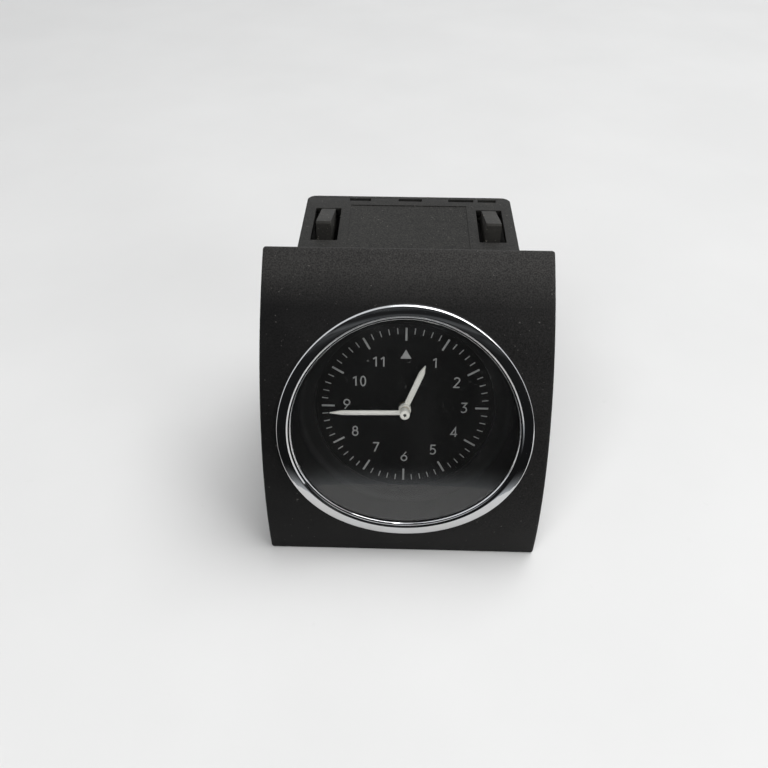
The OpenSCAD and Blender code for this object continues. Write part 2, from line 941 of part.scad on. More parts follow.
module main_board() {
  color([0.08, 0.3, 0.16])
    rearward(board_front, board_t)
      difference() {
        translate([0, mid_z])
          square([main_board_w, main_board_h], center = true);
        at_pins()
          circle(r = pin_r);
        for (sx = [-1, 1], sz = [-1, 1])
          translate([sx * standoff_at[0], mid_z + sz * standoff_at[1]])
            circle(r = small_screw_r + screw_play);
      }
}

// Chips on the main board's front, as middle, width, height and thickness
chips = [[-14, 4, 9, 9, 1.4], [12, 12, 5, 4, 1.5], [13, 3, 3.2, 1.6, 0.9]];

module board_chips() {
  color([0.1, 0.1, 0.11])
    for (c = chips)
      translate([c[0], board_front - c[4] / 2, mid_z + c[1]])
        cube([c[2], c[4], c[3]], center = true);
}

capacitor_r = 3.2;
capacitor_len = 8;
capacitor_at = [18, -12];

module capacitor() {
  color([0.3, 0.32, 0.38])
    translate([capacitor_at[0], board_front, mid_z + capacitor_at[1]])
      rotate([90, 0, 0])
        cylinder(r = capacitor_r, h = capacitor_len);
}

module connector_shell() {
  color([0.12, 0.12, 0.13])
    difference() {
      rearward(board_back, plug_end - board_back)
        translate([0, plug_z])
          square([plug_w, plug_h], center = true);
      rearward(board_back + plug_base, plug_end - board_back)
        translate([0, plug_z])
          square([plug_w - 2 * plug_t, plug_h - 2 * plug_t], center = true);
      rearward(board_back - past, plug_base + 2 * past)
        at_pins()
          circle(r = pin_r);
    }
}

module connector_pins() {
  color([0.85, 0.75, 0.45])
    rearward(board_front - pin_tail, pin_tail + board_t + pin_reach)
      at_pins()
        circle(r = pin_r);
}

// The side view of a fixed lug under the housing, which rests on the ground
lug_w = 6;
lug_flat = 4;
module lug_view() {
  polygon([
    [hook_y, base_z], [hook_y, 0], [hook_y + lug_flat, 0],
    [hook_y + lug_flat + 2 * base_lift, base_z], [hook_y + lug_flat, base_z + housing_t / 2],
    [hook_y, base_z + housing_t / 2]
  ]);
}

window_len = 16;
window_h = 9.6;
window_past = 5.6;
window_drop = 11;
rail_up = [18, 48];
rail_start = 12;
label_half = 19.8;
label_back = 6.2;
label_depth = 0.3;

// The plan of the case, its rear corners rounded
case_corner = 3;
module case_plan() {
  translate([-half_w, front_y])
    square([housing_w, body_depth - case_corner]);
  translate([-half_w + case_corner, front_y])
    square([housing_w - 2 * case_corner, body_depth]);
  for (side = [-1, 1])
    translate([side * (half_w - case_corner), rear_y - case_corner])
      circle(r = case_corner);
}

module housing() {
  depth = cover_y - front_y;
  color([0.13, 0.13, 0.13])
    difference() {
      intersection() {
        union() {
          translate([0, 0, base_z])
            linear_extrude(top_z - base_z)
              intersection() {
                case_plan();
                translate([-half_w, front_y])
                  square([housing_w, depth]);
              }
          oval_prism(collar_out, -dial_depth, collar_t);
          for (side = [-1, 1])
            translate([side * latch_x, 0, 0])
              across(lug_w)
                lug_view();
          for (up = rail_up)
            translate([-half_w - rail_t, dial_y + rail_start, base_z + up - rail_t])
              cube([housing_w + 2 * rail_t, rear_y - case_corner - dial_y - rail_start, 2 * rail_t]);
          for (side = [-1, 1], z = ear_z)
            translate([side * ear_x - side * ear_half / 2, wall_y(z) + boss_len + ear_t / 2, z])
              cube([3 * ear_half, ear_t, 2 * ear_half], center = true);
        }
        drum(panel_r - panel_t - seat_gap);
      }
      difference() {
        translate([-inner_half, front_y - past, inner_base])
          cube([2 * inner_half, depth + 2 * past, inner_top - inner_base]);
        for (side = [-1, 1], wall = [-1, 1])
          translate([side * latch_x + wall * (cheek_in + cheek_t / 2), hinge_y, inner_top])
            cube([cheek_t, 4 * eye_r, 4 * eye_r], center = true);
      }
      oval_prism(collar_in, -dial_depth - past, 0);
      at_dial()
        translate([0, 0, -past])
          cylinder(r = rim_r + fit_gap, h = front_plate_z + 2 * past);
      for (side = [-1, 1]) {
        translate([side * latch_x - slot_w / 2, slot_end - slot_len, inner_top - past])
          cube([slot_w, slot_len, housing_t + 2 * past]);
        translate([side * latch_x, hinge_y, hinge_z])
          rotate([0, 90, 0])
            cylinder(r = hinge_r + run_gap, h = slot_w + 2 * cheek_t + past, center = true);
      }
      for (s = snaps)
        translate([s[0] - s[1] / 2, cover_y - snap_len, inner_top - past])
          cube([s[1], snap_len + past, housing_t + 2 * past]);
      translate([0, slot_end + window_past - window_len / 2, top_z - window_drop])
        cube([housing_w + 2 * past, window_len, window_h], center = true);
      translate([-label_half, front_y, top_z - label_depth])
        cube([2 * label_half, rear_y - label_back - front_y, past]);
      at_ears()
        translate([0, boss_len + ear_t + past, 0])
          rotate([90, 0, 0])
            cylinder(r = panel_screw_r + screw_play, h = ear_t + 2 * past);
    }
}

rib_w = 1.6;
rib_inset = 6;

// The rear view of the cover's ribs: a frame, a frame round the connector and bars between them
module cover_ribs() {
  high = top_z - rib_inset;
  low = base_z + rib_inset;
  frame_half = half_w - rib_inset;
  collar_x = plug_w / 2 + rib_inset;
  collar_z = plug_h / 2 + rib_w + fit_gap;
  difference() {
    translate([-frame_half, low])
      square([2 * frame_half, high - low]);
    translate([-frame_half + rib_w, low + rib_w])
      square([2 * (frame_half - rib_w), high - low - 2 * rib_w]);
  }
  translate([0, plug_z])
    square([2 * (plug_w / 2 + rib_w + fit_gap), 2 * collar_z], center = true);
  for (side = [-1, 1]) {
    translate([side * collar_x - rib_w / 2, low])
      square([rib_w, high - low]);
    translate([side > 0 ? plug_w / 2 : -collar_x, plug_z - rib_w / 2])
      square([rib_inset, rib_w]);
  }
}

module rear_cover() {
  tongue_top = inner_top - fit_gap;
  color([0.13, 0.13, 0.13])
    difference() {
      union() {
        translate([0, 0, base_z])
          linear_extrude(top_z - base_z)
            intersection() {
              case_plan();
              translate([-half_w, cover_y])
                square([housing_w, cover_t]);
            }
        for (s = snaps) {
          translate([s[0] - s[1] / 2 + fit_gap, cover_y - tongue_len, tongue_top - tongue_t])
            cube([s[1] - 2 * fit_gap, tongue_len, tongue_t]);
          translate([s[0] - s[1] / 2 + fit_gap, cover_y - snap_len + fit_gap, tongue_top - tongue_t])
            cube([s[1] - 2 * fit_gap, snap_len - 2 * fit_gap, tongue_t + fit_gap + housing_t - snap_drop]);
        }
        rearward(rear_y - fit_gap, rail_t + fit_gap)
          cover_ribs();
        at_standoffs()
          translate([0, cover_y, 0])
            rotate([90, 0, 0])
              cylinder(r = standoff_r, h = board_space);
      }
      rearward(cover_y - past, cover_t + rail_t + 2 * past)
        translate([0, plug_z])
          square([plug_w + 2 * fit_gap, plug_h + 2 * fit_gap], center = true);
      at_standoffs()
        translate([0, cover_y - board_space / 2, 0])
          rotate([90, 0, 0])
            cylinder(r = small_screw_r + screw_play, h = board_space);
    }
}

hook_flat = 0.6;
tongue_under = 2.2;

// A latch: a ramp that rises from its hinge to a hook that faces the panel
module latch(side) {
  nose = top_z + hook_h;
  ramp_end = slot_end - 2 * fit_gap;
  color([0.2, 0.2, 0.2])
    translate([side * latch_x, 0, 0]) {
      across(latch_w)
        polygon([
          [hook_y + hook_lean, nose - hook_flat], [hook_y + hook_lean + hook_flat, nose],
          [ramp_end, top_z], [ramp_end, hinge_z + hinge_r], [hinge_y, hinge_z + hinge_r],
          [hinge_y, hinge_z - eye_r], [hook_y + hook_h, inner_top - tongue_under],
          [hook_y, inner_top - tongue_under / 2]
        ]);
      translate([0, hinge_y, hinge_z])
        rotate([0, 90, 0]) {
          cylinder(r = eye_r, h = latch_w, center = true);
          cylinder(r = hinge_r, h = slot_w + 2 * cheek_t, center = true);
        }
    }
}

module latch_left() {
  latch(-1);
}

module latch_right() {
  latch(1);
}

// A screw along +Z, from the tip of its shank to its head
module screw(r, shank, head) {
  cylinder(r = r, h = shank);
  translate([0, 0, shank])
    difference() {
      cylinder(r = head, h = head_h);
      translate([0, 0, head_h])
        for (a = [0, 90])
          rotate(a)
            cube([1.3 * head, 0.25 * head, head_h], center = true);
    }
}

panel_screw_len = 9;

module panel_screws() {
  color([0.6, 0.6, 0.62])
    at_ears()
      translate([0, boss_len + ear_t - panel_screw_len, 0])
        rotate([-90, 0, 0])
          screw(panel_screw_r, panel_screw_len, 2 * panel_screw_r);
}

small_screw_len = 5;

module carrier_screws() {
  color([0.6, 0.6, 0.62])
    at_dial()
      at_posts()
        translate([0, 0, train_z - small_screw_len])
          screw(small_screw_r, small_screw_len, head_r);
}

module movement_screws() {
  color([0.6, 0.6, 0.62])
    at_dial()
      at_pillars()
        translate([0, 0, rear_plate_back - small_screw_len])
          screw(small_screw_r, small_screw_len, head_r);
}

module board_screws() {
  color([0.6, 0.6, 0.62])
    at_standoffs()
      translate([0, board_front + small_screw_len, 0])
        rotate([90, 0, 0])
          screw(small_screw_r, small_screw_len, head_r);
}

front_panel();
bezel_ring();
lens();
lens_gasket();
dial_surround();
dial();
dial_marks();
light_guide();
lamp_board();
lamps();
ribbon_cable();
movement_front_plate();
movement_rear_plate();
movement_pillars();
centre_bush();
motor_stator();
motor_coil();
minute_hand();
minute_arbor();
cannon_pinion();
drive_wheel();
hour_hand();
hour_wheel();
minute_wheel();
reduction_wheel();
motor_rotor();
main_board();
board_chips();
capacitor();
connector_shell();
connector_pins();
housing();
rear_cover();
latch_left();
latch_right();
panel_screws();
carrier_screws();
movement_screws();
board_screws();
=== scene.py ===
# Dashboard clock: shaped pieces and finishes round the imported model, in metres, front towards -Y.
import json
import math

import bmesh
import bpy
from mathutils import Matrix, Vector


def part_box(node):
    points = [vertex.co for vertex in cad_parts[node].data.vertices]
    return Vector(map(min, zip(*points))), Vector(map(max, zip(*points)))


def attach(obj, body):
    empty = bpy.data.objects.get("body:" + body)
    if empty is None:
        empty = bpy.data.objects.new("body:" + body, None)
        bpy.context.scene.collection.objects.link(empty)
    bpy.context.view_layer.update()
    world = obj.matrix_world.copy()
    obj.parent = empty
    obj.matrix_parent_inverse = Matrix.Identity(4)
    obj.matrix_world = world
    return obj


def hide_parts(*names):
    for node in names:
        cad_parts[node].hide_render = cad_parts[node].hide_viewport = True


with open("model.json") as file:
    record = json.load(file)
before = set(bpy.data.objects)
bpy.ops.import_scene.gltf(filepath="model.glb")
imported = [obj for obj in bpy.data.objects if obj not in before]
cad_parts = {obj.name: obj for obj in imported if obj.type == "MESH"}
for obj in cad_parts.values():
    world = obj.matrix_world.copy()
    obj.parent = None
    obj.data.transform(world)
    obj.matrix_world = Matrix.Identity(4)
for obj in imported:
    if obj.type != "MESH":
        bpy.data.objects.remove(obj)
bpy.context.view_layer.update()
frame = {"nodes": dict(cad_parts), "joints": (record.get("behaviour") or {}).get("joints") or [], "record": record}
scene = bpy.context.scene
scene.view_settings.view_transform = "Standard"
mm = 0.001
tau = 2 * math.pi
print("frame:", len(frame["nodes"]), "nodes")


def standing(point, across, up, out):  # the matrix of a frame at a point, from its three axes
    return Matrix.Translation(point) @ Matrix((across, up, out)).transposed().to_4x4()


# The dial's own frame: x right, y up the dial, z towards the viewer, from the minute hand's joint
minuteJoint = next(joint for joint in frame["joints"] if joint["name"] == "minute_spin")
dialPoint = Vector(minuteJoint["pos_m"])
intoDash = Vector(minuteJoint["axis"]).normalized()
acrossDial = Vector((1, 0, 0))
upDial = acrossDial.cross(intoDash)
dialMatrix = standing(dialPoint, acrossDial, upDial, -intoDash)


class Wire:  # one output socket, with the sums that finishes are written in
    def __init__(self, graph, socket):
        self.graph = graph
        self.socket = socket

    def joined(self, operation, first, second):
        values = {"Value": first, "Value_001": second}
        return self.graph.add("ShaderNodeMath", {"operation": operation}, values)

    def __add__(self, other):
        return self.joined("ADD", self, other)

    def __radd__(self, other):
        return self.joined("ADD", other, self)

    def __sub__(self, other):
        return self.joined("SUBTRACT", self, other)

    def __rsub__(self, other):
        return self.joined("SUBTRACT", other, self)

    def __mul__(self, other):
        return self.joined("MULTIPLY", self, other)

    def __rmul__(self, other):
        return self.joined("MULTIPLY", other, self)

    def __truediv__(self, other):
        return self.joined("DIVIDE", self, other)

    def __rtruediv__(self, other):
        return self.joined("DIVIDE", other, self)

    def __mod__(self, other):
        return self.joined("FLOORED_MODULO", self, other)

    def __rmod__(self, other):
        return self.joined("FLOORED_MODULO", other, self)

    def __lt__(self, other):
        return self.joined("LESS_THAN", self, other)

    def __gt__(self, other):
        return self.joined("GREATER_THAN", self, other)


class Graph:  # a node tree, of a finish or of a shape
    def __init__(self, tree):
        self.tree = tree

    def add(self, kind, settings=None, sockets=None, out=0):
        node = self.tree.nodes.new(kind)
        for key, value in (settings or {}).items():
            setattr(node, key, value)
        for key, value in (sockets or {}).items():
            socket = next(s for s in node.inputs if s.identifier == key)
            for item in value if isinstance(value, list) else [value]:
                if isinstance(item, Wire):
                    self.tree.links.new(item.socket, socket)
                else:
                    socket.default_value = item
        if isinstance(out, str):
            return Wire(self, next(s for s in node.outputs if s.identifier == out))
        return Wire(self, node.outputs[out] if node.outputs else None)


def solid(colour):  # a colour written as three numbers gets its fourth
    return (*colour, 1) if isinstance(colour, tuple) and len(colour) == 3 else colour


class Finish(Graph):  # a material, named for its slot in the record; sizes in millimetres
    def __init__(self, slot):
        self.material = bpy.data.materials.new(slot)
        self.material.use_nodes = True
        super().__init__(self.material.node_tree)
        self.tree.nodes.clear()
        self.place = self.add("ShaderNodeTexCoord", out="Object")

    def stretched(self, scale, turn=(0, 0, 0)):
        values = {"Vector": self.place, "Scale": scale, "Rotation": turn}
        return self.add("ShaderNodeMapping", None, values)

    def noise(self, size, detail, place=None):
        values = {"Vector": place or self.place, "Scale": 1 / (size * mm), "Detail": detail}
        return self.add("ShaderNodeTexNoise", None, values)

    def cells(self, size, place=None, feature="F1"):
        values = {"Vector": place or self.place, "Scale": 1 / (size * mm)}
        return self.add("ShaderNodeTexVoronoi", {"feature": feature}, values)

    def limits(self, value, low, high, lowTo=0.0, highTo=1.0):
        values = {"Value": value, "From Min": low, "From Max": high, "To Min": lowTo, "To Max": highTo}
        return self.add("ShaderNodeMapRange", {"clamp": True}, values)

    def specks(self, look):  # scattered dust, 0 or 1 with a soft edge
        start = look["dustFrom"]
        return self.limits(self.noise(look["dustSize"], 1), start, start + look["dustEdge"])

    def blend(self, share, first, second):
        values = {"Factor_Float": share, "A_Color": solid(first), "B_Color": solid(second)}
        return self.add("ShaderNodeMix", {"data_type": "RGBA"}, values, "Result_Color")

    def axes(self):
        split = self.add("ShaderNodeSeparateXYZ", None, {"Vector": self.place})
        return [Wire(self, socket) for socket in split.socket.node.outputs]

    def bumped(self, height, look):
        values = {"Height": height, "Distance": look["depth"] * mm, "Strength": look["bump"]}
        return self.add("ShaderNodeBump", None, values)

    def shader(self, **sockets):
        named = {
            "colour": "Base Color", "rough": "Roughness", "metal": "Metallic", "normal": "Normal",
            "coat": "Coat Weight", "specular": "Specular IOR Level"
        }
        values = {named[key]: solid(value) for key, value in sockets.items()}
        return self.add("ShaderNodeBsdfPrincipled", None, values)

    def mixed(self, share, first, second):
        values = {"Fac": share, "Shader": first, "Shader_001": second}
        return self.add("ShaderNodeMixShader", None, values)

    def finished(self, shader):
        self.add("ShaderNodeOutputMaterial", None, {"Surface": shader})
        return self.material

    def surface(self, **sockets):
        return self.finished(self.shader(**sockets))


# Finishes

def mouldedPlastic(slot, look):
    f = Finish(slot)
    cloud = f.noise(look["cloud"], 3)
    grain = f.noise(look["grain"], 2)
    dust = f.specks(look)
    ofCloud, ofGrain = look["filmMix"]
    film = f.limits(ofCloud * cloud + ofGrain * grain, *look["filmRange"])
    tone = f.blend(film, look["dark"], look["light"])
    x, y, z = f.axes()
    reach = look["rightLightReach"] * mm
    # painted light: lighter towards the top
    paintedLight = f.limits(z, look["topLightFrom"] * mm, look["topLightTo"] * mm, 0.0, look["topLightShare"])
    # painted light from the right: lighter towards +X
    paintedLight = paintedLight + f.limits(x, -reach, reach, 0.0, look["rightLightShare"])
    # the painted light is mottled by the grain
    paintedLight = paintedLight * (1 + look["lightMottle"] * (f.limits(grain, *look["lightMottleRange"]) - 0.5))
    # the painted light and the dust specks both blend towards the dust colour
    colour = f.blend(paintedLight + dust * look["dustShare"], tone, look["dust"])
    rough = look["rough"] + look["roughSpread"] * (grain - 0.5) + look["filmRough"] * film
    return f.surface(colour=colour, rough=rough, specular=look["specular"],
                     normal=f.bumped(grain + look["dustRise"] * dust, look))


evenPlastic = {  # shared by the plastics; painted light makes them lighter towards the top and to the right, mottled by the grain
    "topLightFrom": 60, "topLightTo": 100, "topLightShare": 0, "lightMottle": 0, "lightMottleRange": (0.35, 0.65),
    "rightLightShare": 0, "rightLightReach": 44, "filmMix": (0.4, 0.6), "filmRange": (0.3, 0.7), "filmRough": 0.08,
    "dustEdge": 0.06, "dustRise": 0.4
}
softTouch = {
    **evenPlastic, "cloud": 18, "grain": 0.42,
    "dark": (0.0038, 0.0038, 0.004), "light": (0.0134, 0.0133, 0.0131),
    "depth": 0.05, "bump": 0.55, "rough": 0.54, "roughSpread": 0.22, "specular": 0.11,
    "dust": (0.22, 0.21, 0.2), "dustSize": 0.9, "dustFrom": 0.735, "dustShare": 0.28,
    # painted highlight and sheen along the panel's top, and painted light on its right side
    "topLightFrom": 79, "topLightTo": 87, "topLightShare": 0.1, "lightMottle": 1.0, "rightLightShare": 0.03
}
housingPlastic = {
    **evenPlastic, "cloud": 3, "grain": 0.45,
    "dark": (0.0085, 0.0085, 0.0083), "light": (0.025, 0.0245, 0.0235),
    "depth": 0.08, "bump": 0.75, "rough": 0.6, "roughSpread": 0.3, "specular": 0.14,
    "dust": (0.3, 0.29, 0.26), "dustSize": 0.8, "dustFrom": 0.7, "dustShare": 0.17,
    # painted light on the housing's top
    "topLightFrom": 82.6, "topLightTo": 83.4, "topLightShare": 0.03, "lightMottle": 2.0
}
latchPlastic = {
    **evenPlastic, "cloud": 4, "grain": 0.3,
    "dark": (0.019, 0.0185, 0.0176), "light": (0.042, 0.0405, 0.037),
    "depth": 0.03, "bump": 0.4, "rough": 0.55, "roughSpread": 0.15, "specular": 0.11,
    # painted light, lighter to the right
    "dust": (0.4, 0.38, 0.33), "dustSize": 0.7, "dustFrom": 0.68, "dustShare": 0.35, "rightLightShare": 0.02
}
connectorPlastic = {
    **evenPlastic, "cloud": 6, "grain": 0.25,
    "dark": (0.02, 0.02, 0.021), "light": (0.03, 0.03, 0.031),
    "depth": 0.03, "bump": 0.4, "rough": 0.5, "roughSpread": 0.15, "specular": 0.45,
    "dust": (0.25, 0.24, 0.22), "dustSize": 0.7, "dustFrom": 0.72, "dustShare": 0.25
}
chipPlastic = {
    **evenPlastic, "cloud": 3, "grain": 0.15,
    "dark": (0.014, 0.014, 0.015), "light": (0.02, 0.02, 0.021),
    "depth": 0.02, "bump": 0.5, "rough": 0.62, "roughSpread": 0.2, "specular": 0.4,
    "dust": (0.2, 0.2, 0.2), "dustSize": 0.5, "dustFrom": 0.75, "dustShare": 0.2
}
gasketRubber = {
    **evenPlastic, "cloud": 5, "grain": 0.4,
    "dark": (0.010, 0.010, 0.010), "light": (0.016, 0.016, 0.016),
    "depth": 0.04, "bump": 0.4, "rough": 0.75, "roughSpread": 0.2, "specular": 0.3,
    "dust": (0.2, 0.2, 0.2), "dustSize": 0.6, "dustFrom": 0.75, "dustShare": 0.2
}
wheelPlastic = {
    **evenPlastic, "cloud": 5, "grain": 0.3,
    "dark": (0.72, 0.71, 0.66), "light": (0.82, 0.81, 0.76),
    "depth": 0.015, "bump": 0.3, "rough": 0.42, "roughSpread": 0.12, "specular": 0.5,
    "dust": (0.5, 0.47, 0.4), "dustSize": 0.6, "dustFrom": 0.72, "dustShare": 0.2
}
magnetFerrite = {
    **evenPlastic, "cloud": 2, "grain": 0.2,
    "dark": (0.035, 0.034, 0.034), "light": (0.06, 0.058, 0.056),
    "depth": 0.03, "bump": 0.6, "rough": 0.5, "roughSpread": 0.2, "specular": 0.6,
    "dust": (0.25, 0.24, 0.23), "dustSize": 0.4, "dustFrom": 0.72, "dustShare": 0.2
}


def brushedMetal(slot, look):
    f = Finish(slot)
    streak = f.noise(look["streak"], 3, f.stretched(look["along"]))
    tarnish = f.limits(f.noise(look["cloud"], 3), *look["tarnishRange"])
    colour = f.blend(tarnish * look["tarnishShare"], look["bright"], look["tarnish"])
    rough = look["rough"] + look["roughSpread"] * (streak - 0.5) + look["tarnishRough"] * tarnish
    return f.surface(colour=colour, rough=rough, metal=1.0, normal=f.bumped(streak, look))


plainMetal = {"tarnishRange": (0.45, 0.8), "tarnishRough": 0.1}
brassLook = {
    **plainMetal,
    "bright": (0.78, 0.58, 0.27), "tarnish": (0.45, 0.29, 0.11), "tarnishShare": 0.6, "cloud": 7,
    "streak": 0.25, "along": (0.06, 1, 1), "rough": 0.3, "roughSpread": 0.2, "depth": 0.008, "bump": 0.4
}
steelLook = {
    **plainMetal,
    "bright": (0.62, 0.63, 0.65), "tarnish": (0.48, 0.44, 0.36), "tarnishShare": 0.5, "cloud": 3,
    "streak": 0.2, "along": (1, 0.2, 1), "rough": 0.33, "roughSpread": 0.22, "depth": 0.008, "bump": 0.4
}
copperLook = {
    **plainMetal,
    "bright": (0.72, 0.31, 0.13), "tarnish": (0.4, 0.13, 0.04), "tarnishShare": 0.6, "cloud": 2.5,
    "streak": 0.2, "along": (1, 1, 0.2), "rough": 0.34, "roughSpread": 0.2, "depth": 0.006, "bump": 0.3
}
goldLook = {
    **plainMetal,
    "bright": (0.86, 0.67, 0.33), "tarnish": (0.62, 0.5, 0.3), "tarnishShare": 0.5, "cloud": 2,
    "streak": 0.15, "along": (1, 0.1, 1), "rough": 0.25, "roughSpread": 0.15, "depth": 0.005, "bump": 0.3
}


def chromePlate(slot, look):
    f = Finish(slot)
    haze = f.limits(f.noise(look["haze"], 3), *look["hazeRange"])
    along = f.stretched(look["scratchAlong"], look["scratchTurn"])
    scratch = f.limits(f.cells(look["scratch"], along, "DISTANCE_TO_EDGE"), 0, look["scratchWidth"])
    colour = f.blend(haze * look["hazeShare"], look["bright"], look["warm"])
    rough = look["rough"] + look["hazeRough"] * haze + look["scratchRough"] * (1 - scratch)
    return f.surface(colour=colour, rough=rough, metal=1.0, normal=f.bumped(f.noise(look["wave"], 2), look))


chromeLook = {
    "bright": (0.64, 0.645, 0.655), "warm": (0.58, 0.57, 0.545), "rough": 0.05,
    "haze": 9, "hazeRange": (0.4, 0.75), "hazeShare": 0.5, "hazeRough": 0.05,
    "scratch": 3, "scratchAlong": (1, 0.15, 1), "scratchTurn": (0.4, 0, 0.7), "scratchWidth": 0.02,
    "scratchRough": 0.03, "wave": 6, "depth": 0.02, "bump": 0.12
}


def clearLens(slot, look):
    f = Finish(slot)
    haze = f.limits(f.noise(look["haze"], 4, f.stretched(look["hazeAlong"])), *look["hazeRange"])
    dust = f.specks(look)
    through = f.add("ShaderNodeBsdfTransparent", None, {"Color": solid(look["tint"])})
    shine = f.add("ShaderNodeBsdfGlossy", None, {"Color": solid(look["shine"]), "Roughness": look["rough"]})
    film = f.add("ShaderNodeBsdfDiffuse", None, {"Color": solid(look["film"])})
    inside = f.add("ShaderNodeNewGeometry", out="Backfacing")  # both faces reflect where light enters
    gloss = f.add("ShaderNodeFresnel", None, {"IOR": look["ior"]}) * (1 - inside) * look["faces"]
    share = look["veil"] + haze * look["filmShare"] + dust * look["dustShare"]
    return f.finished(f.mixed(share, f.mixed(gloss, through, shine), film))


lensLook = {
    "tint": (0.99, 0.995, 0.995), "shine": (1, 1, 1), "film": (0.7, 0.7, 0.68),
    "ior": 1.49, "faces": 1.55, "rough": 0.02, "veil": 0.0035,
    "haze": 14, "hazeAlong": (1, 0.5, 0.35), "hazeRange": (0.5, 0.85), "filmShare": 0.006,
    "dustSize": 0.7, "dustFrom": 0.74, "dustEdge": 0.05, "dustShare": 0.1
}


def glossBlack(slot, look):
    f = Finish(slot)
    dust = f.specks(look)
    smear = f.limits(f.noise(look["smear"], 3), *look["smearRange"])
    colour = f.blend(dust * look["dustShare"], look["colour"], look["dust"])
    rough = look["rough"] + look["smearRough"] * smear + look["dustRough"] * dust
    return f.surface(colour=colour, rough=rough, specular=look["specular"],
                     normal=f.bumped(f.noise(look["ripple"], 2), look))


surroundLook = {
    "colour": (0.008, 0.008, 0.0082), "rough": 0.42, "specular": 0.15, "ripple": 4, "depth": 0.01,
    "bump": 0.15, "smear": 5, "smearRange": (0.4, 0.8), "smearRough": 0.06, "dust": (0.3, 0.3, 0.28),
    "dustSize": 0.8, "dustFrom": 0.74, "dustEdge": 0.05, "dustShare": 0.2, "dustRough": 0.3
}


def flatPaint(slot, look):  # the dial, its print and the hands
    f = Finish(slot)
    tooth = f.noise(look["tooth"], 2)
    cloud = f.limits(f.noise(look["cloud"], 3), *look["cloudRange"])
    colour = f.blend(cloud, look["dark"], look["light"])
    if "hole" in look:  # painted shade in the hub's recess, darker near the hands' axis
        x, y, z = f.axes()
        up = y * upDial.y + z * upDial.z - dialPoint.dot(upDial)
        inner, outer = (radius * mm for radius in look["hole"])
        hole = f.limits(x * x + up * up, inner ** 2, outer ** 2, 1.0, 0.0)
        colour = f.blend(hole, colour, look["recessShade"])
    rough = look["rough"] + look["toothRough"] * (tooth - 0.5)
    return f.surface(colour=colour, rough=rough, specular=look["specular"], normal=f.bumped(tooth, look))


plainPaint = {"cloudRange": (0.35, 0.75), "toothRough": 0.1, "depth": 0.02, "bump": 0.4}
dialLook = {
    **plainPaint,
    "dark": (0.0022, 0.0022, 0.0023), "light": (0.0034, 0.0034, 0.0033), "tooth": 0.2, "cloud": 12,
    "rough": 0.62, "specular": 0.16
}
printLook = {
    **plainPaint,
    "dark": (0.32, 0.32, 0.315), "light": (0.38, 0.38, 0.37), "tooth": 0.15, "cloud": 1.2,
    "rough": 0.55, "specular": 0.35
}
ivoryLook = {
    **plainPaint,
    "dark": (0.82, 0.80, 0.74), "light": (0.90, 0.88, 0.82), "tooth": 0.25, "cloud": 2.5,
    "rough": 0.42, "specular": 0.5, "hole": (0.44, 0.56), "recessShade": (0.012, 0.012, 0.011)
}


def frostedGuide(slot, look):
    f = Finish(slot)
    dots = f.limits(f.cells(look["pitch"]), *look["dotRange"])
    colour = f.blend(dots, look["dot"], look["clear"])
    return f.surface(colour=colour, rough=look["rough"] - look["clearSheen"] * dots, coat=look["coat"],
                     normal=f.bumped(dots, look))


guideLook = {
    "pitch": 0.9, "dotRange": (0.18, 0.3), "dot": (0.95, 0.95, 0.93), "clear": (0.78, 0.82, 0.84),
    "rough": 0.45, "clearSheen": 0.3, "coat": 0.4, "depth": 0.05, "bump": 0.5
}


def fromMiddle(f, value):  # distance from the middle of each repeat, 0 to 0.5
    return f.add("ShaderNodeMath", {"operation": "ABSOLUTE"}, {"Value": value % 1.0 - 0.5})


def circuitBoard(slot, look):
    f = Finish(slot)
    x, y, z = f.axes()
    width = look["width"]
    lane = f.limits(f.noise(look["bend"], 2), *look["bendRange"]) * look["sway"] * mm
    across = fromMiddle(f, (x + lane) / (look["pitch"] * mm))
    zone = f.limits(f.noise(look["zone"], 1), *look["zoneRange"])
    copper = f.limits(across, width, width + look["trackEdge"], 1.0, 0.0) * zone
    via = f.limits(f.cells(look["via"]), *look["viaRange"], 1.0, 0.0) * (1 - zone)
    weave = f.noise(look["weave"], 1, f.stretched(look["weaveAlong"]))
    colour = f.blend(via, f.blend(copper, look["resist"], look["track"]), look["pad"])
    return f.surface(colour=colour, rough=look["rough"] + look["weaveRough"] * weave, metal=via,
                     specular=look["specular"], normal=f.bumped(copper + look["weaveRise"] * weave, look))


boardLook = {
    "resist": (0.018, 0.10, 0.045), "track": (0.035, 0.19, 0.08), "pad": (0.75, 0.68, 0.45),
    "pitch": 1.3, "width": 0.2, "trackEdge": 0.08, "bend": 7, "bendRange": (0.3, 0.7), "sway": 6,
    "zone": 9, "zoneRange": (0.5, 0.54), "via": 2.6, "viaRange": (0.06, 0.1),
    "weave": 0.5, "weaveAlong": (1, 1, 0.3), "weaveRough": 0.12, "weaveRise": 0.3,
    "rough": 0.32, "specular": 0.5, "depth": 0.05, "bump": 0.5
}


def lampPackage(slot, look):
    f = Finish(slot)
    phosphor = f.limits(f.noise(look["cloud"], 2), *look["cloudRange"])
    colour = f.blend(phosphor, look["case"], look["phosphor"])
    return f.surface(colour=colour, rough=look["rough"] + look["phosphorRough"] * phosphor, coat=look["coat"],
                     normal=f.bumped(phosphor, look))


lampLook = {
    "case": (0.9, 0.88, 0.78), "phosphor": (0.92, 0.82, 0.4), "cloud": 0.6, "cloudRange": (0.4, 0.6),
    "rough": 0.25, "phosphorRough": 0.2, "coat": 0.5, "depth": 0.03, "bump": 0.4
}


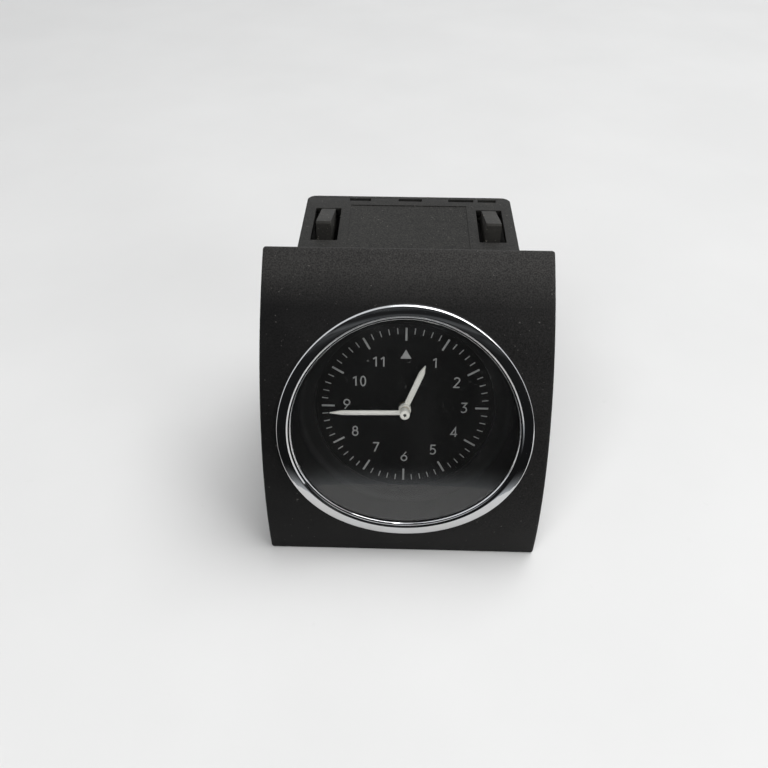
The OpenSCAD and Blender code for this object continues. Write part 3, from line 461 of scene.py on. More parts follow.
def ribbonFilm(slot, look):
    f = Finish(slot)
    x, y, z = f.axes()
    lead = f.limits(fromMiddle(f, x / (look["pitch"] * mm)), *look["leadRange"], 1.0, 0.0)
    colour = f.blend(lead, look["film"], look["lead"])
    rough = look["rough"] + look["cloudRough"] * f.noise(look["cloud"], 2)
    return f.surface(colour=colour, rough=rough, coat=look["coat"], normal=f.bumped(lead, look))


ribbonLook = {
    "film": (0.62, 0.61, 0.56), "lead": (0.42, 0.36, 0.28), "pitch": 1.0, "leadRange": (0.22, 0.3),
    "rough": 0.3, "cloud": 3, "cloudRough": 0.15, "coat": 0.3, "depth": 0.06, "bump": 0.6
}


def capacitorSleeve(slot, look):
    f = Finish(slot)
    x, y, z = f.axes()
    low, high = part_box("capacitor")
    middle = (low.z + high.z) / 2
    stripe = f.limits(z, *(middle + share * (high.z - middle) for share in look["stripeRange"]))
    top = f.limits(y, *(low.y + reach * mm for reach in look["canRange"]), 1.0, 0.0)
    colour = f.blend(top, f.blend(stripe, look["sleeve"], look["stripe"]), look["can"])
    grain = f.noise(look["grain"], 2)
    return f.surface(colour=colour, metal=top, rough=look["rough"] + look["grainRough"] * grain,
                     normal=f.bumped(grain, look))


capacitorLook = {
    "sleeve": (0.03, 0.04, 0.09), "stripe": (0.6, 0.62, 0.66), "can": (0.7, 0.71, 0.72),
    "stripeRange": (0.6, 0.66), "canRange": (0.3, 0.45), "rough": 0.28, "grain": 0.3, "grainRough": 0.15,
    "depth": 0.01, "bump": 0.3
}

finishTable = {  # how each slot's finish is made
    "panel_black": (mouldedPlastic, softTouch),
    "housing_black": (mouldedPlastic, housingPlastic),
    "latch_grey": (mouldedPlastic, latchPlastic),
    "connector_black": (mouldedPlastic, connectorPlastic),
    "chip_black": (mouldedPlastic, chipPlastic),
    "gasket_rubber": (mouldedPlastic, gasketRubber),
    "wheel_white": (mouldedPlastic, wheelPlastic),
    "magnet_dark": (mouldedPlastic, magnetFerrite),
    "brass": (brushedMetal, brassLook),
    "steel": (brushedMetal, steelLook),
    "coil_copper": (brushedMetal, copperLook),
    "pin_gold": (brushedMetal, goldLook),
    "chrome": (chromePlate, chromeLook),
    "clear_lens": (clearLens, lensLook),
    "surround_gloss": (glossBlack, surroundLook),
    "dial_black": (flatPaint, dialLook),
    "print_white": (flatPaint, printLook),
    "hand_ivory": (flatPaint, ivoryLook),
    "guide_clear": (frostedGuide, guideLook),
    "board_green": (circuitBoard, boardLook),
    "lamp_white": (lampPackage, lampLook),
    "ribbon_grey": (ribbonFilm, ribbonLook),
    "capacitor_sleeve": (capacitorSleeve, capacitorLook)
}
finishes = {slot: make(slot, look) for slot, (make, look) in finishTable.items()}
slotOf = {part["node"]: part["material_slot"] for part in frame["record"]["subparts"]}
bodyOf = {node: body for body, nodes in frame["record"]["behaviour"]["bodies"].items() for node in nodes}
print("finishes:", len(finishes))


# Shapes, in millimetres until their mesh is made
mergeGap = 0.0005  # points nearer than this become one


def around(count):
    return [tau * k / count for k in range(count)]


def between(first, second, share):
    return tuple(a + (b - a) * share for a, b in zip(first, second))


def arcPoints(centre, half, start, end, steps=20):  # part of an oval, by its two half widths
    angles = [math.radians(start + (end - start) * i / steps) for i in range(steps + 1)]
    return [(centre[0] + half[0] * math.cos(a), centre[1] + half[1] * math.sin(a)) for a in angles]


def quarterRound(size, steps):  # how far in and how deep a rounded edge lies, from its face outwards
    turns = [math.radians(90 * step / steps) for step in range(steps + 1)]
    return [(size * (1 - math.sin(turn)), size * (1 - math.cos(turn))) for turn in turns]


def flatRing(half, sides, height, centre=(0, 0)):
    x, y = centre
    return [(x + half[0] * math.cos(a), y + half[1] * math.sin(a), height) for a in around(sides)]


def lofted(rings, wrap=False, caps=False):  # quads between closed rings of points
    count = len(rings[0])
    points = [point for ring in rings for point in ring]
    faces = []
    for i in range(len(rings) if wrap else len(rings) - 1):
        here = i * count
        there = (i + 1) % len(rings) * count
        for j in range(count):
            follow = (j + 1) % count
            faces.append((here + j, here + follow, there + follow, there + j))
    if caps:
        faces += [tuple(range(count)), tuple(range(len(points) - count, len(points)))]
    return points, faces


def turned(profile, sides, centre=(0, 0)):  # a closed profile of radius and height, about Z
    rings = [flatRing((radius, radius), sides, height, centre) for radius, height in profile]
    return lofted(rings, wrap=True)


def placed(shell, matrix):
    points, faces = shell
    return [matrix @ Vector(point) for point in points], faces


def meshOf(name, shells, place=None):
    points, faces = [], []
    for shellPoints, shellFaces in shells:
        start = len(points)
        points += [Vector(point) * mm for point in shellPoints]
        faces += [tuple(start + i for i in face) for face in shellFaces]
    mesh = bpy.data.meshes.new(name)
    mesh.from_pydata(points, [], faces)
    if place:
        mesh.transform(place)
    shape = bmesh.new()
    shape.from_mesh(mesh)
    bmesh.ops.remove_doubles(shape, verts=shape.verts, dist=mergeGap * mm)
    bmesh.ops.recalc_face_normals(shape, faces=shape.faces)
    shape.to_mesh(mesh)
    shape.free()
    return mesh


def settle(name, mesh, node, sharp=35):  # a finished mesh becomes the piece that stands for a node
    mesh.shade_smooth()
    mesh.set_sharp_from_angle(angle=math.radians(sharp))
    mesh.materials.clear()
    mesh.materials.append(finishes[slotOf[node]])
    piece = bpy.data.objects.new(name, mesh)
    scene.collection.objects.link(piece)
    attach(piece, bodyOf[node])
    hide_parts(node)
    return piece


# Front panel: a shell round an axis along X, laid out by width and by arc length over its face
panelShape = {
    "radius": 101.5, "lowAngle": 4, "wall": 2.8, "rim": 6, "rimWall": 2, "rimWaist": 0.6, "rimCut": 0.3,
    "corner": 1.0, "leastCorner": 0.2, "cornerSteps": 6, "sideSteps": 44, "edge": 0.8, "edgeSteps": 6,
    "hole": (36.6, 35.4), "faceShares": (0, 0.04, 0.15, 0.3, 0.5, 0.7, 0.86, 0.96, 1),
    "backShares": (1, 0.9, 0.6, 0.3, 0), "screwHead": 2.6, "bossRadius": 3, "bossBore": 1.35,
    "bossLength": 11, "bossSink": 0.6, "bossCuts": (0.4, 0.3), "bossSides": 32
}
panelLow, panelHigh = (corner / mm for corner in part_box("front_panel"))
panelRadius = panelShape["radius"]
axisY = panelLow.y + panelRadius
axisZ = panelLow.z + panelRadius * math.sin(math.radians(panelShape["lowAngle"]))
dialOnAxis = Vector((0, axisY, axisZ)) - dialPoint / mm
axisDepth = dialOnAxis.dot(intoDash)
axisUp = dialOnAxis.dot(upDial)


def onPanel(x, arc, depth):  # a point by width, arc length and depth under the face
    angle = arc / panelRadius
    radius = panelRadius - depth
    return Vector((x, axisY - radius * math.cos(angle), axisZ + radius * math.sin(angle)))


def depthAt(up, height):  # depth behind the dial of the panel's face, raised by a height
    return axisDepth - math.sqrt((panelRadius + height) ** 2 - (up - axisUp) ** 2)


def ovalOnPanel(axes, angle, depth):  # where an oval round the hands' axis meets the panel, as width and arc
    x, up = axes[0] * math.cos(angle), axes[1] * math.sin(angle)
    point = dialPoint / mm + acrossDial * x + upDial * up + intoDash * depthAt(up, -depth)
    return x, panelRadius * math.atan2(point.z - axisZ, axisY - point.y)


def ovalOverPanel(half, sides, height):  # an oval ring, in the dial's frame, that follows the panel's face
    return [(x, up, -depthAt(up, height)) for x, up, flat in flatRing(half, sides, 0)]


def panelOutline(inset):
    half = panelHigh.x - inset
    low = -panelRadius * math.radians(panelShape["lowAngle"]) + inset
    high = panelRadius * math.asin((panelHigh.z - axisZ) / panelRadius) - inset
    radius = max(panelShape["corner"] - inset, panelShape["leastCorner"])
    centres = [(half - radius, high - radius), (radius - half, high - radius),
               (radius - half, low + radius), (half - radius, low + radius)]
    corners = [arcPoints(centre, (radius, radius), 90 * i, 90 * i + 90, panelShape["cornerSteps"])
               for i, centre in enumerate(centres)]
    steps = panelShape["sideSteps"]
    points = []
    for corner, follow in zip(corners, corners[1:] + corners[:1]):
        points += corner + [between(corner[-1], follow[0], k / steps) for k in range(1, steps)]
    return points


def panelBoss(x, z):  # a screw boss whose front end follows the panel's curve, inside its wall
    radius, bore, wall = panelShape["bossRadius"], panelShape["bossBore"], panelShape["wall"]
    outerCut, boreCut = panelShape["bossCuts"]

    def wallAt(height, depth):
        return axisY - math.sqrt((panelRadius - depth) ** 2 - (height - axisZ) ** 2)

    end = wallAt(z, wall) + panelShape["bossLength"]
    walk = [(bore, None), (radius, None), (radius, outerCut), (radius - outerCut, 0), (bore + boreCut, 0),
            (bore, boreCut)]
    rings = []
    for size, back in walk:
        ring = []
        for angle in around(panelShape["bossSides"]):
            height = z + size * math.sin(angle)
            depth = wallAt(height, panelShape["bossSink"] * wall) if back is None else end - back
            ring.append((x + size * math.cos(angle), depth, height))
        rings.append(ring)
    return lofted(rings, wrap=True)


def makePanel():
    wall, rim, rimWall, cut, hole = (panelShape[key] for key in ("wall", "rim", "rimWall", "rimCut", "hole"))
    middle = ovalOnPanel((0, 0), 0, 0)[1]
    outer = panelOutline(panelShape["edge"])
    spots = [math.atan2((arc - middle) / hole[1], x / hole[0]) for x, arc in outer]

    def faceRings(outline, depth, shares):
        inner = [ovalOnPanel(hole, angle, depth) for angle in spots]
        return [[onPanel(*between(i, o, share), depth) for i, o in zip(inner, outline)] for share in shares]

    rings = faceRings(outer, 0, panelShape["faceShares"])
    walk = quarterRound(panelShape["edge"], panelShape["edgeSteps"])[1:]
    walk += [(0, panelShape["rimWaist"] * rim), (0, rim - cut), (cut, rim), (rimWall, rim)]
    for inset, depth in walk:
        rings.append([onPanel(x, arc, depth) for x, arc in panelOutline(inset)])
    rings += faceRings(panelOutline(rimWall), wall, panelShape["backShares"])
    shells = [lofted(rings, wrap=True)]
    screwLow, screwHigh = (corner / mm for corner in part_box("panel_screws"))
    head = panelShape["screwHead"]
    for x in (screwLow.x + head, screwHigh.x - head):
        for z in (screwLow.z + head, screwHigh.z - head):
            shells.append(panelBoss(x, z))
    settle("front_panel_skin", meshOf("front_panel_skin", shells), "front_panel", 40)


makePanel()

# Bezel: one section of the ring, share of its width from the lens and height over the panel
bezelShape = {
    "inner": (34.7, 33.5), "outer": (39.2, 38.0), "height": 1.5, "foot": -0.45, "seat": 0.02, "skirt": 0.333,
    "section": [(0, 0.19), (0.015, 0.26), (0.055, 0.43), (0.075, 0.495), (0.1, 0.545), (0.125, 0.57),
                (0.15, 0.582), (0.175, 0.607), (0.2, 0.665), (0.245, 0.8), (0.285, 0.92), (0.31, 0.958),
                (0.35, 0.976), (0.42, 0.988), (0.55, 0.994), (0.7, 0.98), (0.8, 0.957), (0.91, 0.885),
                (0.975, 0.64), (1, 0.25)],
    "smooth": 4, "sides": 240
}


def smoothed(points, steps):  # a curve through the points, with the ends kept
    line = [points[0]] + points + [points[-1]]
    result = []
    for before, start, end, after in zip(line, line[1:], line[2:], line[3:]):
        for k in range(steps):
            t = k / steps
            result.append(tuple(0.5 * (2 * b + (c - a) * t + (2 * a - 5 * b + 4 * c - d) * t * t
                                       + (3 * b - a - 3 * c + d) * t ** 3)
                                for a, b, c, d in zip(before, start, end, after)))
    return result + [points[-1]]


def makeBezel():
    height, seat, skirt, foot = (bezelShape[key] for key in ("height", "seat", "skirt", "foot"))
    inner, outer, sides = (bezelShape[key] for key in ("inner", "outer", "sides"))
    curve = smoothed(bezelShape["section"], bezelShape["smooth"])
    section = [(share, lift * height) for share, lift in curve]
    section += [(1, seat), (skirt, seat), (skirt, foot), (0, foot)]
    rings = [ovalOverPanel(between(inner, outer, share), sides, lift) for share, lift in section]
    mesh = meshOf("bezel_chrome", [lofted(rings, wrap=True)], dialMatrix)
    settle("bezel_chrome", mesh, "bezel_ring", 50)


makeBezel()

# Lens: two curved faces, the front one raised inside the ring, and the edge between them
lensShape = {
    "half": (36.3, 35.1), "inset": 0.5, "thickness": 1.8, "raised": 0.4, "step": (0.948, 0.951), "rings": 14,
    "sides": 144
}


def makeLens():
    count = lensShape["rings"]
    front, back = lensShape["inset"], lensShape["inset"] + lensShape["thickness"]
    brow, foot = lensShape["step"]
    walk = [(brow * i / count, front - lensShape["raised"]) for i in range(count + 1)]
    walk += [(foot, front), (1, front)] + [(i / count, back) for i in range(count, -1, -1)]
    rings = [ovalOverPanel([share * size for size in lensShape["half"]], lensShape["sides"], -depth)
             for share, depth in walk]
    settle("lens_clear", meshOf("lens_clear", [lofted(rings)], dialMatrix), "lens", 50)


makeLens()

# Dial surround: a bowl from the dial's opening up to the lens, its rim behind and four screw posts
surroundShape = {
    "half": (36.3, 35.1), "wall": 1.2, "mask": 1.6, "opening": 29.4, "lip": 0.2, "lipSteps": 4,
    "lensGap": 3.1, "fillet": 2.5, "filletSteps": 8, "sides": 160, "rim": (31.0, 32.2), "rimDepth": 6.8,
    "rimSides": 96, "post": 24.3244, "postRadius": 2.2, "postBore": 0.85, "postSides": 32
}


def makeSurround():
    wall, mask, lip, sides = (surroundShape[key] for key in ("wall", "mask", "lip", "sides"))
    opening, depth, post = (surroundShape[key] for key in ("opening", "rimDepth", "post"))

    def narrowed(inset):
        return [size - inset for size in surroundShape["half"]]

    def tube(inner, outer, sides, centre=(0, 0)):
        return turned([(inner, 0), (outer, 0), (outer, -depth), (inner, -depth)], sides, centre)

    rings = [flatRing((opening, opening), sides, 0)]
    for inset, rise in arcPoints((0, 0), (lip, lip), 0, 90, surroundShape["lipSteps"]):
        radius = opening + lip - inset
        rings.append(flatRing((radius, radius), sides, mask - lip + rise))
    for inset, rise in quarterRound(surroundShape["fillet"], surroundShape["filletSteps"]):
        rings.append(flatRing(narrowed(wall + inset), sides, mask + rise))
    rings += [ovalOverPanel(narrowed(inset), sides, -surroundShape["lensGap"]) for inset in (wall, 0)]
    rings.append(flatRing(narrowed(0), sides, 0))
    shells = [lofted(rings, wrap=True), tube(*surroundShape["rim"], surroundShape["rimSides"])]
    for x in (-post, post):
        for y in (-post, post):
            bore, radius = surroundShape["postBore"], surroundShape["postRadius"]
            shells.append(tube(bore, radius, surroundShape["postSides"], (x, y)))
    settle("dial_surround_bowl", meshOf("dial_surround_bowl", shells, dialMatrix), "dial_surround", 40)


makeSurround()
print("panel, bezel, lens and surround made")


# Trees that grow what repeats

def shapeTree(name, numbers):
    tree = bpy.data.node_groups.new(name, "GeometryNodeTree")
    tree.interface.new_socket(name="base", in_out="INPUT", socket_type="NodeSocketGeometry")
    for label in numbers:
        tree.interface.new_socket(name=label, in_out="INPUT", socket_type="NodeSocketFloat")
    tree.interface.new_socket(name="shape", in_out="OUTPUT", socket_type="NodeSocketGeometry")
    graph = Graph(tree)
    source = tree.nodes.new("NodeGroupInput")
    return graph, {socket.name: Wire(graph, socket) for socket in source.outputs if socket.name}


def endTree(graph, shape, material):
    realized = graph.add("GeometryNodeRealizeInstances", None, {"Geometry": shape})
    finished = graph.add("GeometryNodeSetMaterial", None, {"Geometry": realized, "Material": material})
    out = graph.tree.nodes.new("NodeGroupOutput")
    graph.tree.links.new(finished.socket, out.inputs[0])


def grownMesh(name, graph, base, numbers):  # runs a tree once and keeps what it makes as a plain mesh
    piece = bpy.data.objects.new(name, base)
    scene.collection.objects.link(piece)
    modifier = piece.modifiers.new("grow", "NODES")
    modifier.node_group = graph.tree
    for item in graph.tree.interface.items_tree:
        if item.in_out == "INPUT" and item.name in numbers:
            modifier[item.identifier] = numbers[item.name] * mm
    depsgraph = bpy.context.evaluated_depsgraph_get()
    mesh = bpy.data.meshes.new_from_object(piece.evaluated_get(depsgraph))
    piece.modifiers.remove(modifier)
    bpy.data.objects.remove(piece)
    mesh.name = name
    return mesh


def vector(graph, x=0.0, y=0.0, z=0.0):
    return graph.add("ShaderNodeCombineXYZ", None, {"X": x, "Y": y, "Z": z})


def trig(graph, operation, angle):
    return graph.add("ShaderNodeMath", {"operation": operation}, {"Value": angle})


# Dial print: ticks from a tree, a triangle at twelve and numbers drawn as strokes
printShape = {
    "outer": 27.25, "hour length": 4.25, "hour width": 0.62, "minute length": 2.0, "minute width": 0.3,
    "thickness": 0.08, "triangle": (3.5, 16.9, 20.0), "numberHeight": 3.3, "advance": 2.45,
    "stroke": 0.42, "leastMitre": 0.3, "mostReach": 1.6
}
numberPlaces = {  # middle of each number on the dial
    "1": (9.5, 15.6), "2": (16.6, 9.0), "3": (19.3, 0.1), "4": (16.5, -8.9), "5": (9.7, -15.5),
    "6": (0.1, -18.2), "7": (-9.4, -15.0), "8": (-16.3, -9.1), "9": (-19.0, 0.6), "10": (-14.9, 8.9),
    "11": (-8.4, 15.7)
}
sixBowl = arcPoints((0, -0.21), (0.28, 0.29), 152, 152 - 360, 28)
digitStrokes = {  # in shares of a number's height
    "0": [arcPoints((0, 0), (0.23, 0.5), 90, 450, 32)],
    "1": [[(-0.24, 0.27), (0.04, 0.47)], [(0.04, 0.5), (0.04, -0.5)]],
    "2": [arcPoints((0, 0.25), (0.26, 0.25), 165, -38) + [(-0.27, -0.5), (0.28, -0.5)]],
    "3": [[(-0.27, 0.5), (0.26, 0.5), (-0.04, 0.08)] + arcPoints((-0.03, -0.21), (0.29, 0.29), 85, -140)],
    "4": [[(0.13, -0.5), (0.13, 0.5), (-0.31, -0.22), (0.33, -0.22)]],
    "5": [[(0.25, 0.5), (-0.18, 0.5), (-0.21, 0.03)] + arcPoints((-0.03, -0.19), (0.29, 0.31), 122, -140)],
    "6": [[(0.2, 0.5)] + sixBowl],
    "7": [[(-0.29, 0.5), (0.27, 0.5), (-0.14, -0.5)]],
    "8": [arcPoints((0, 0.27), (0.21, 0.23), 90, 450, 28), arcPoints((0, -0.22), (0.26, 0.28), 90, 450, 28)],
    "9": [[(-0.2, -0.5)] + [(-x, -y) for x, y in sixBowl]]
}


def strokePrism(path):  # a flat stroke along a path, with mitred corners
    width, thickness = printShape["stroke"], printShape["thickness"]
    points = [Vector(point) for point in path]
    loop = (points[0] - points[-1]).length < mergeGap
    if loop:
        points.pop()
    rings = []
    for i, point in enumerate(points):
        before = point - points[i - 1] if loop or i > 0 else points[1] - points[0]
        after = points[(i + 1) % len(points)] - point if loop or i < len(points) - 1 else before
        before, after = before.normalized(), after.normalized()
        across = (before + after).orthogonal().normalized()
        mitre = max(abs(across.dot(before.orthogonal())), printShape["leastMitre"])
        reach = min(width / 2 / mitre, printShape["mostReach"] * width)
        left, right = point + across * reach, point - across * reach
        rings.append([(*left, 0), (*right, 0), (*right, thickness), (*left, thickness)])
    return lofted(rings, wrap=loop, caps=not loop)


def numberShells():
    shells = []
    height = printShape["numberHeight"]
    for text, centre in numberPlaces.items():
        for i, digit in enumerate(text):
            shift = centre[0] + (i - (len(text) - 1) / 2) * printShape["advance"]
            for stroke in digitStrokes[digit]:
                shells.append(strokePrism([(shift + x * height, centre[1] + y * height) for x, y in stroke]))
    return shells


def triangleShell():
    width, foot, tip = printShape["triangle"]
    corners = [(-width / 2, foot), (width / 2, foot), (0, tip)]
    return lofted([[(x, y, z) for x, y in corners] for z in (0, printShape["thickness"])], caps=True)


def tickTree():
    sizes = ["outer", "hour length", "hour width", "minute length", "minute width", "thickness"]
    graph, given = shapeTree("dialTicks", sizes)
    index = graph.add("GeometryNodeInputIndex")
    angle = index * (tau / 60)
    hour = index % 5 < 0.5
    rings = [given["base"]]
    for kind, chosen in (("hour", hour), ("minute", 1 - hour)):
        middle = given["outer"] - given[kind + " length"] / 2
        spot = vector(graph, middle * trig(graph, "SINE", angle), middle * trig(graph, "COSINE", angle),
                      given["thickness"] / 2)
        points = graph.add("GeometryNodePoints", None, {"Count": 60, "Position": spot})
        size = vector(graph, given[kind + " width"], given[kind + " length"], given["thickness"])
        bar = graph.add("GeometryNodeMeshCube", None, {"Size": size})
        turn = vector(graph, z=0 - angle)
        rings.append(graph.add("GeometryNodeInstanceOnPoints", None,
                               {"Points": points, "Selection": chosen, "Instance": bar, "Rotation": turn}))
    endTree(graph, graph.add("GeometryNodeJoinGeometry", None, {"Geometry": rings}), finishes["print_white"])
    return graph


marks = grownMesh("dial_print", tickTree(), meshOf("numbers", numberShells() + [triangleShell()]), printShape)
marks.transform(dialMatrix)
settle("dial_print", marks, "dial_marks")

# Hands: a blade with softened edges and a point, on a hub whose recess is darkened by painted shade
handShape = {
    "soft": 0.14, "softShare": 0.6, "crown": 0.06, "shoulder": 0.6,
    "taper": ((0, 0.97), (0.4, 0.66), (0.75, 0.33), (0.95, 0.14), (1, 0.05)),
    "hubSoft": 0.3, "hubSteps": 5, "hubSides": 48, "holeCut": 0.12, "floorRise": 0.05
}
minuteShape = {
    "length": 24.3, "width": 1.5, "tip": 4, "blade": (4.3, 4.9), "hub": 1.6, "hubSpan": (3.7, 6.7),
    "bore": 0.6, "hole": 0.45, "recess": 0.7, "turn": 268.8
}
hourShape = {
    "length": 16.4, "width": 1.9, "tip": 2.8, "blade": (1.3, 1.9), "hub": 2.0, "hubSpan": (1.3, 3.2),
    "bore": 1.5, "hole": 1.5, "recess": 0.3, "turn": 22.4
}


def handBlade(shape):
    low, high = shape["blade"]
    tipStart = shape["length"] - shape["tip"]
    walk = [(0, 1), (tipStart - handShape["shoulder"], 1)]
    walk += [(tipStart + along * shape["tip"], share) for along, share in handShape["taper"]]
    rings = []
    for along, share in walk:
        half = shape["width"] / 2 * share
        cut = min(handShape["soft"], handShape["softShare"] * half)
        section = [(-half, low), (half, low), (half, high - cut), (half - cut, high),
                   (0, high + handShape["crown"] * share), (cut - half, high), (-half, high - cut)]
        rings.append([(x, along, z) for x, z in section])
    return lofted(rings, caps=True)


def makeHand(name, shape, node):
    back, front = shape["hubSpan"]
    radius, bore, hole = shape["hub"], shape["bore"], shape["hole"]
    soft, cut = handShape["hubSoft"], handShape["holeCut"]
    floor = front - shape["recess"] + handShape["floorRise"]
    profile = [(bore, back), (radius, back), (radius, front - soft)]
    profile += arcPoints((radius - soft, front - soft), (soft, soft), 0, 90, handShape["hubSteps"])
    profile += [(hole + cut, front), (hole, front - cut), (hole, floor), (bore, floor)]
    turn = Matrix.Rotation(math.radians(-shape["turn"]), 4, "Z")
    shells = [placed(handBlade(shape), turn), turned(profile, handShape["hubSides"])]
    settle(name, meshOf(name, shells, dialMatrix), node, 40)


makeHand("minute_hand_ivory", minuteShape, "minute_hand")
makeHand("hour_hand_ivory", hourShape, "hour_hand")
print("dial print and hands made")

# Screws: four in each set, with a tapered head and a cross recess; out is where their heads point
screwShape = {
    "headSides": 28, "shankSides": 24, "taper": 0.8, "slotLength": 1.3, "slotWidth": 0.28, "slotHeight": 1.1,
    "firstTurn": 0.5, "turnStep": 1.3
}
smallScrew = {"head": 1.8, "head height": 1.0, "shank": 0.8, "shank length": 5.0}
screwSets = {
    "panel_screws": {
        "head": 2.6, "head height": 1.0, "shank": 1.3, "shank length": 9.0, "out": Vector((0, 1, 0))
    },
    "carrier_screws": {**smallScrew, "out": intoDash},
    "movement_screws": {**smallScrew, "out": intoDash},
    "board_screws": {**smallScrew, "out": Vector((0, -1, 0))}
}


def screwTree():
    graph, given = shapeTree("crossScrews", smallScrew)
    head = graph.add("GeometryNodeMeshCone", None, {
        "Vertices": screwShape["headSides"], "Radius Top": given["head"] * screwShape["taper"],
        "Radius Bottom": given["head"], "Depth": given["head height"]
    })
    length, width = screwShape["slotLength"], screwShape["slotWidth"]
    height = given["head height"] * screwShape["slotHeight"]
    cuts = []
    for x, y in ((length, width), (width, length)):
        size = vector(graph, given["head"] * x, given["head"] * y, height)
        bar = graph.add("GeometryNodeMeshCube", None, {"Size": size})
        cuts.append(graph.add("GeometryNodeTransform", None, {
            "Geometry": bar, "Translation": vector(graph, z=given["head height"])
        }))
    cut = graph.add("GeometryNodeMeshBoolean", {"operation": "DIFFERENCE", "solver": "EXACT"}, {
        "Mesh 1": head, "Mesh 2": cuts
    })
    shank = graph.add("GeometryNodeMeshCylinder", None, {
        "Vertices": screwShape["shankSides"], "Radius": given["shank"], "Depth": given["shank length"]
    })
    lowered = graph.add("GeometryNodeTransform", None, {
        "Geometry": shank, "Translation": vector(graph, z=0 - given["shank length"] / 2)
    })
    screw = graph.add("GeometryNodeJoinGeometry", None, {"Geometry": [cut, lowered]})
    turn = graph.add("GeometryNodeInputNamedAttribute", {"data_type": "FLOAT_VECTOR"}, {"Name": "turn"})
    screws = graph.add("GeometryNodeInstanceOnPoints", None, {
        "Points": given["base"], "Instance": screw, "Rotation": turn
    })
    endTree(graph, screws, finishes["steel"])
    return graph


def looseParts(node):  # the points of a node's separate solids
    shape = bmesh.new()
    shape.from_mesh(frame["nodes"][node].data)
    bmesh.ops.remove_doubles(shape, verts=shape.verts, dist=2 * mergeGap * mm)
    left = set(shape.verts)
    groups = []
    for first in shape.verts:
        if first not in left:
            continue
        left.remove(first)
        queue = [first]
        group = []
        while queue:
            vert = queue.pop()
            group.append(vert.co.copy())
            for edge in vert.link_edges:
                other = edge.other_vert(vert)
                if other in left:
                    left.remove(other)
                    queue.append(other)
        groups.append(group)
    shape.free()
    return groups


def makeScrews(graph):
    for node, sizes in screwSets.items():
        out = sizes["out"]
        facing = out.to_track_quat("Z", "Y").to_matrix().to_4x4()
        spots = []
        for group in looseParts(node):
            middle = sum(group, Vector()) / len(group)
            seat = max(point.dot(out) for point in group) - sizes["head height"] * mm
            spots.append(middle + out * (seat - middle.dot(out)))
        base = bpy.data.meshes.new(node)
        base.from_pydata(spots, [], [])
        turns = base.attributes.new("turn", "FLOAT_VECTOR", "POINT")
        for i in range(len(spots)):
            spin = Matrix.Rotation(screwShape["firstTurn"] + screwShape["turnStep"] * i, 4, "Z")
            turns.data[i].vector = (facing @ spin).to_euler()
        settle(node + "_set", grownMesh(node + "_set", graph, base, sizes), node, 35)


makeScrews(screwTree())


def middleOf(node):
    low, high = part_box(node)
    return (low + high) / 2


# Motor coil: turns of wire side by side along the core
coilShape = {
    "half width": 3.4, "half height": 3.0, "wire": 0.2, "length": 18.8, "corner": 1.05,
    "core": (1.35, 0.95), "cornerSteps": 4, "wireSides": 6
}


def coilTree():
    graph, given = shapeTree("coilTurns", ["half width", "half height", "wire", "length", "corner"])
    loop = graph.add("GeometryNodeCurvePrimitiveQuadrilateral", {"mode": "RECTANGLE"}, {
        "Width": (given["half width"] - given["wire"]) * 2,
        "Height": (given["half height"] - given["wire"]) * 2
    })
    rounded = graph.add("GeometryNodeFilletCurve", {"mode": "POLY"}, {
        "Curve": loop, "Radius": given["corner"], "Count": coilShape["cornerSteps"]
    })
    section = graph.add("GeometryNodeCurvePrimitiveCircle", {"mode": "RADIUS"}, {
        "Resolution": coilShape["wireSides"], "Radius": given["wire"]
    })
    turn = graph.add("GeometryNodeCurveToMesh", None, {"Curve": rounded, "Profile Curve": section})
    pitch = given["wire"] * 2
    count = graph.add("ShaderNodeMath", {"operation": "FLOOR"}, {"Value": given["length"] / pitch})
    index = graph.add("GeometryNodeInputIndex")
    spot = vector(graph, z=given["wire"] - given["length"] / 2 + index * pitch)
    points = graph.add("GeometryNodePoints", None, {"Count": count, "Position": spot})
    turns = graph.add("GeometryNodeInstanceOnPoints", None, {"Points": points, "Instance": turn})
    endTree(graph, graph.add("GeometryNodeJoinGeometry", None, {"Geometry": [turns, given["base"]]}),
            finishes["coil_copper"])
    return graph


def makeCoil():
    half, tall, wire, length = (coilShape[key] for key in ("half width", "half height", "wire", "length"))
    corners = ((1, 1), (-1, 1), (-1, -1), (1, -1))
    outer = [(x * (half - wire), y * (tall - wire)) for x, y in corners]
    inner = [(x * coilShape["core"][0], y * coilShape["core"][1]) for x, y in corners]
    end = length / 2 - wire / 2
    walk = ((outer, -end), (outer, end), (inner, end), (inner, -end))
    rings = [[(x, y, z) for x, y in ring] for ring, z in walk]
    core = meshOf("coil_core", [lofted(rings, wrap=True)])
    mesh = grownMesh("motor_coil_turns", coilTree(), core, coilShape)
    mesh.transform(standing(middleOf("motor_coil"), acrossDial, intoDash, -upDial))
    settle("motor_coil_turns", mesh, "motor_coil", 60)


makeCoil()

# Connector pins: two rows of rods with chamfered ends
pinShape = {
    "radius": 0.35, "length": 13.8, "tip": 0.6, "tipShare": 0.45, "sides": 16, "pitch": 3.2, "columns": 5,
    "rows": 2
}


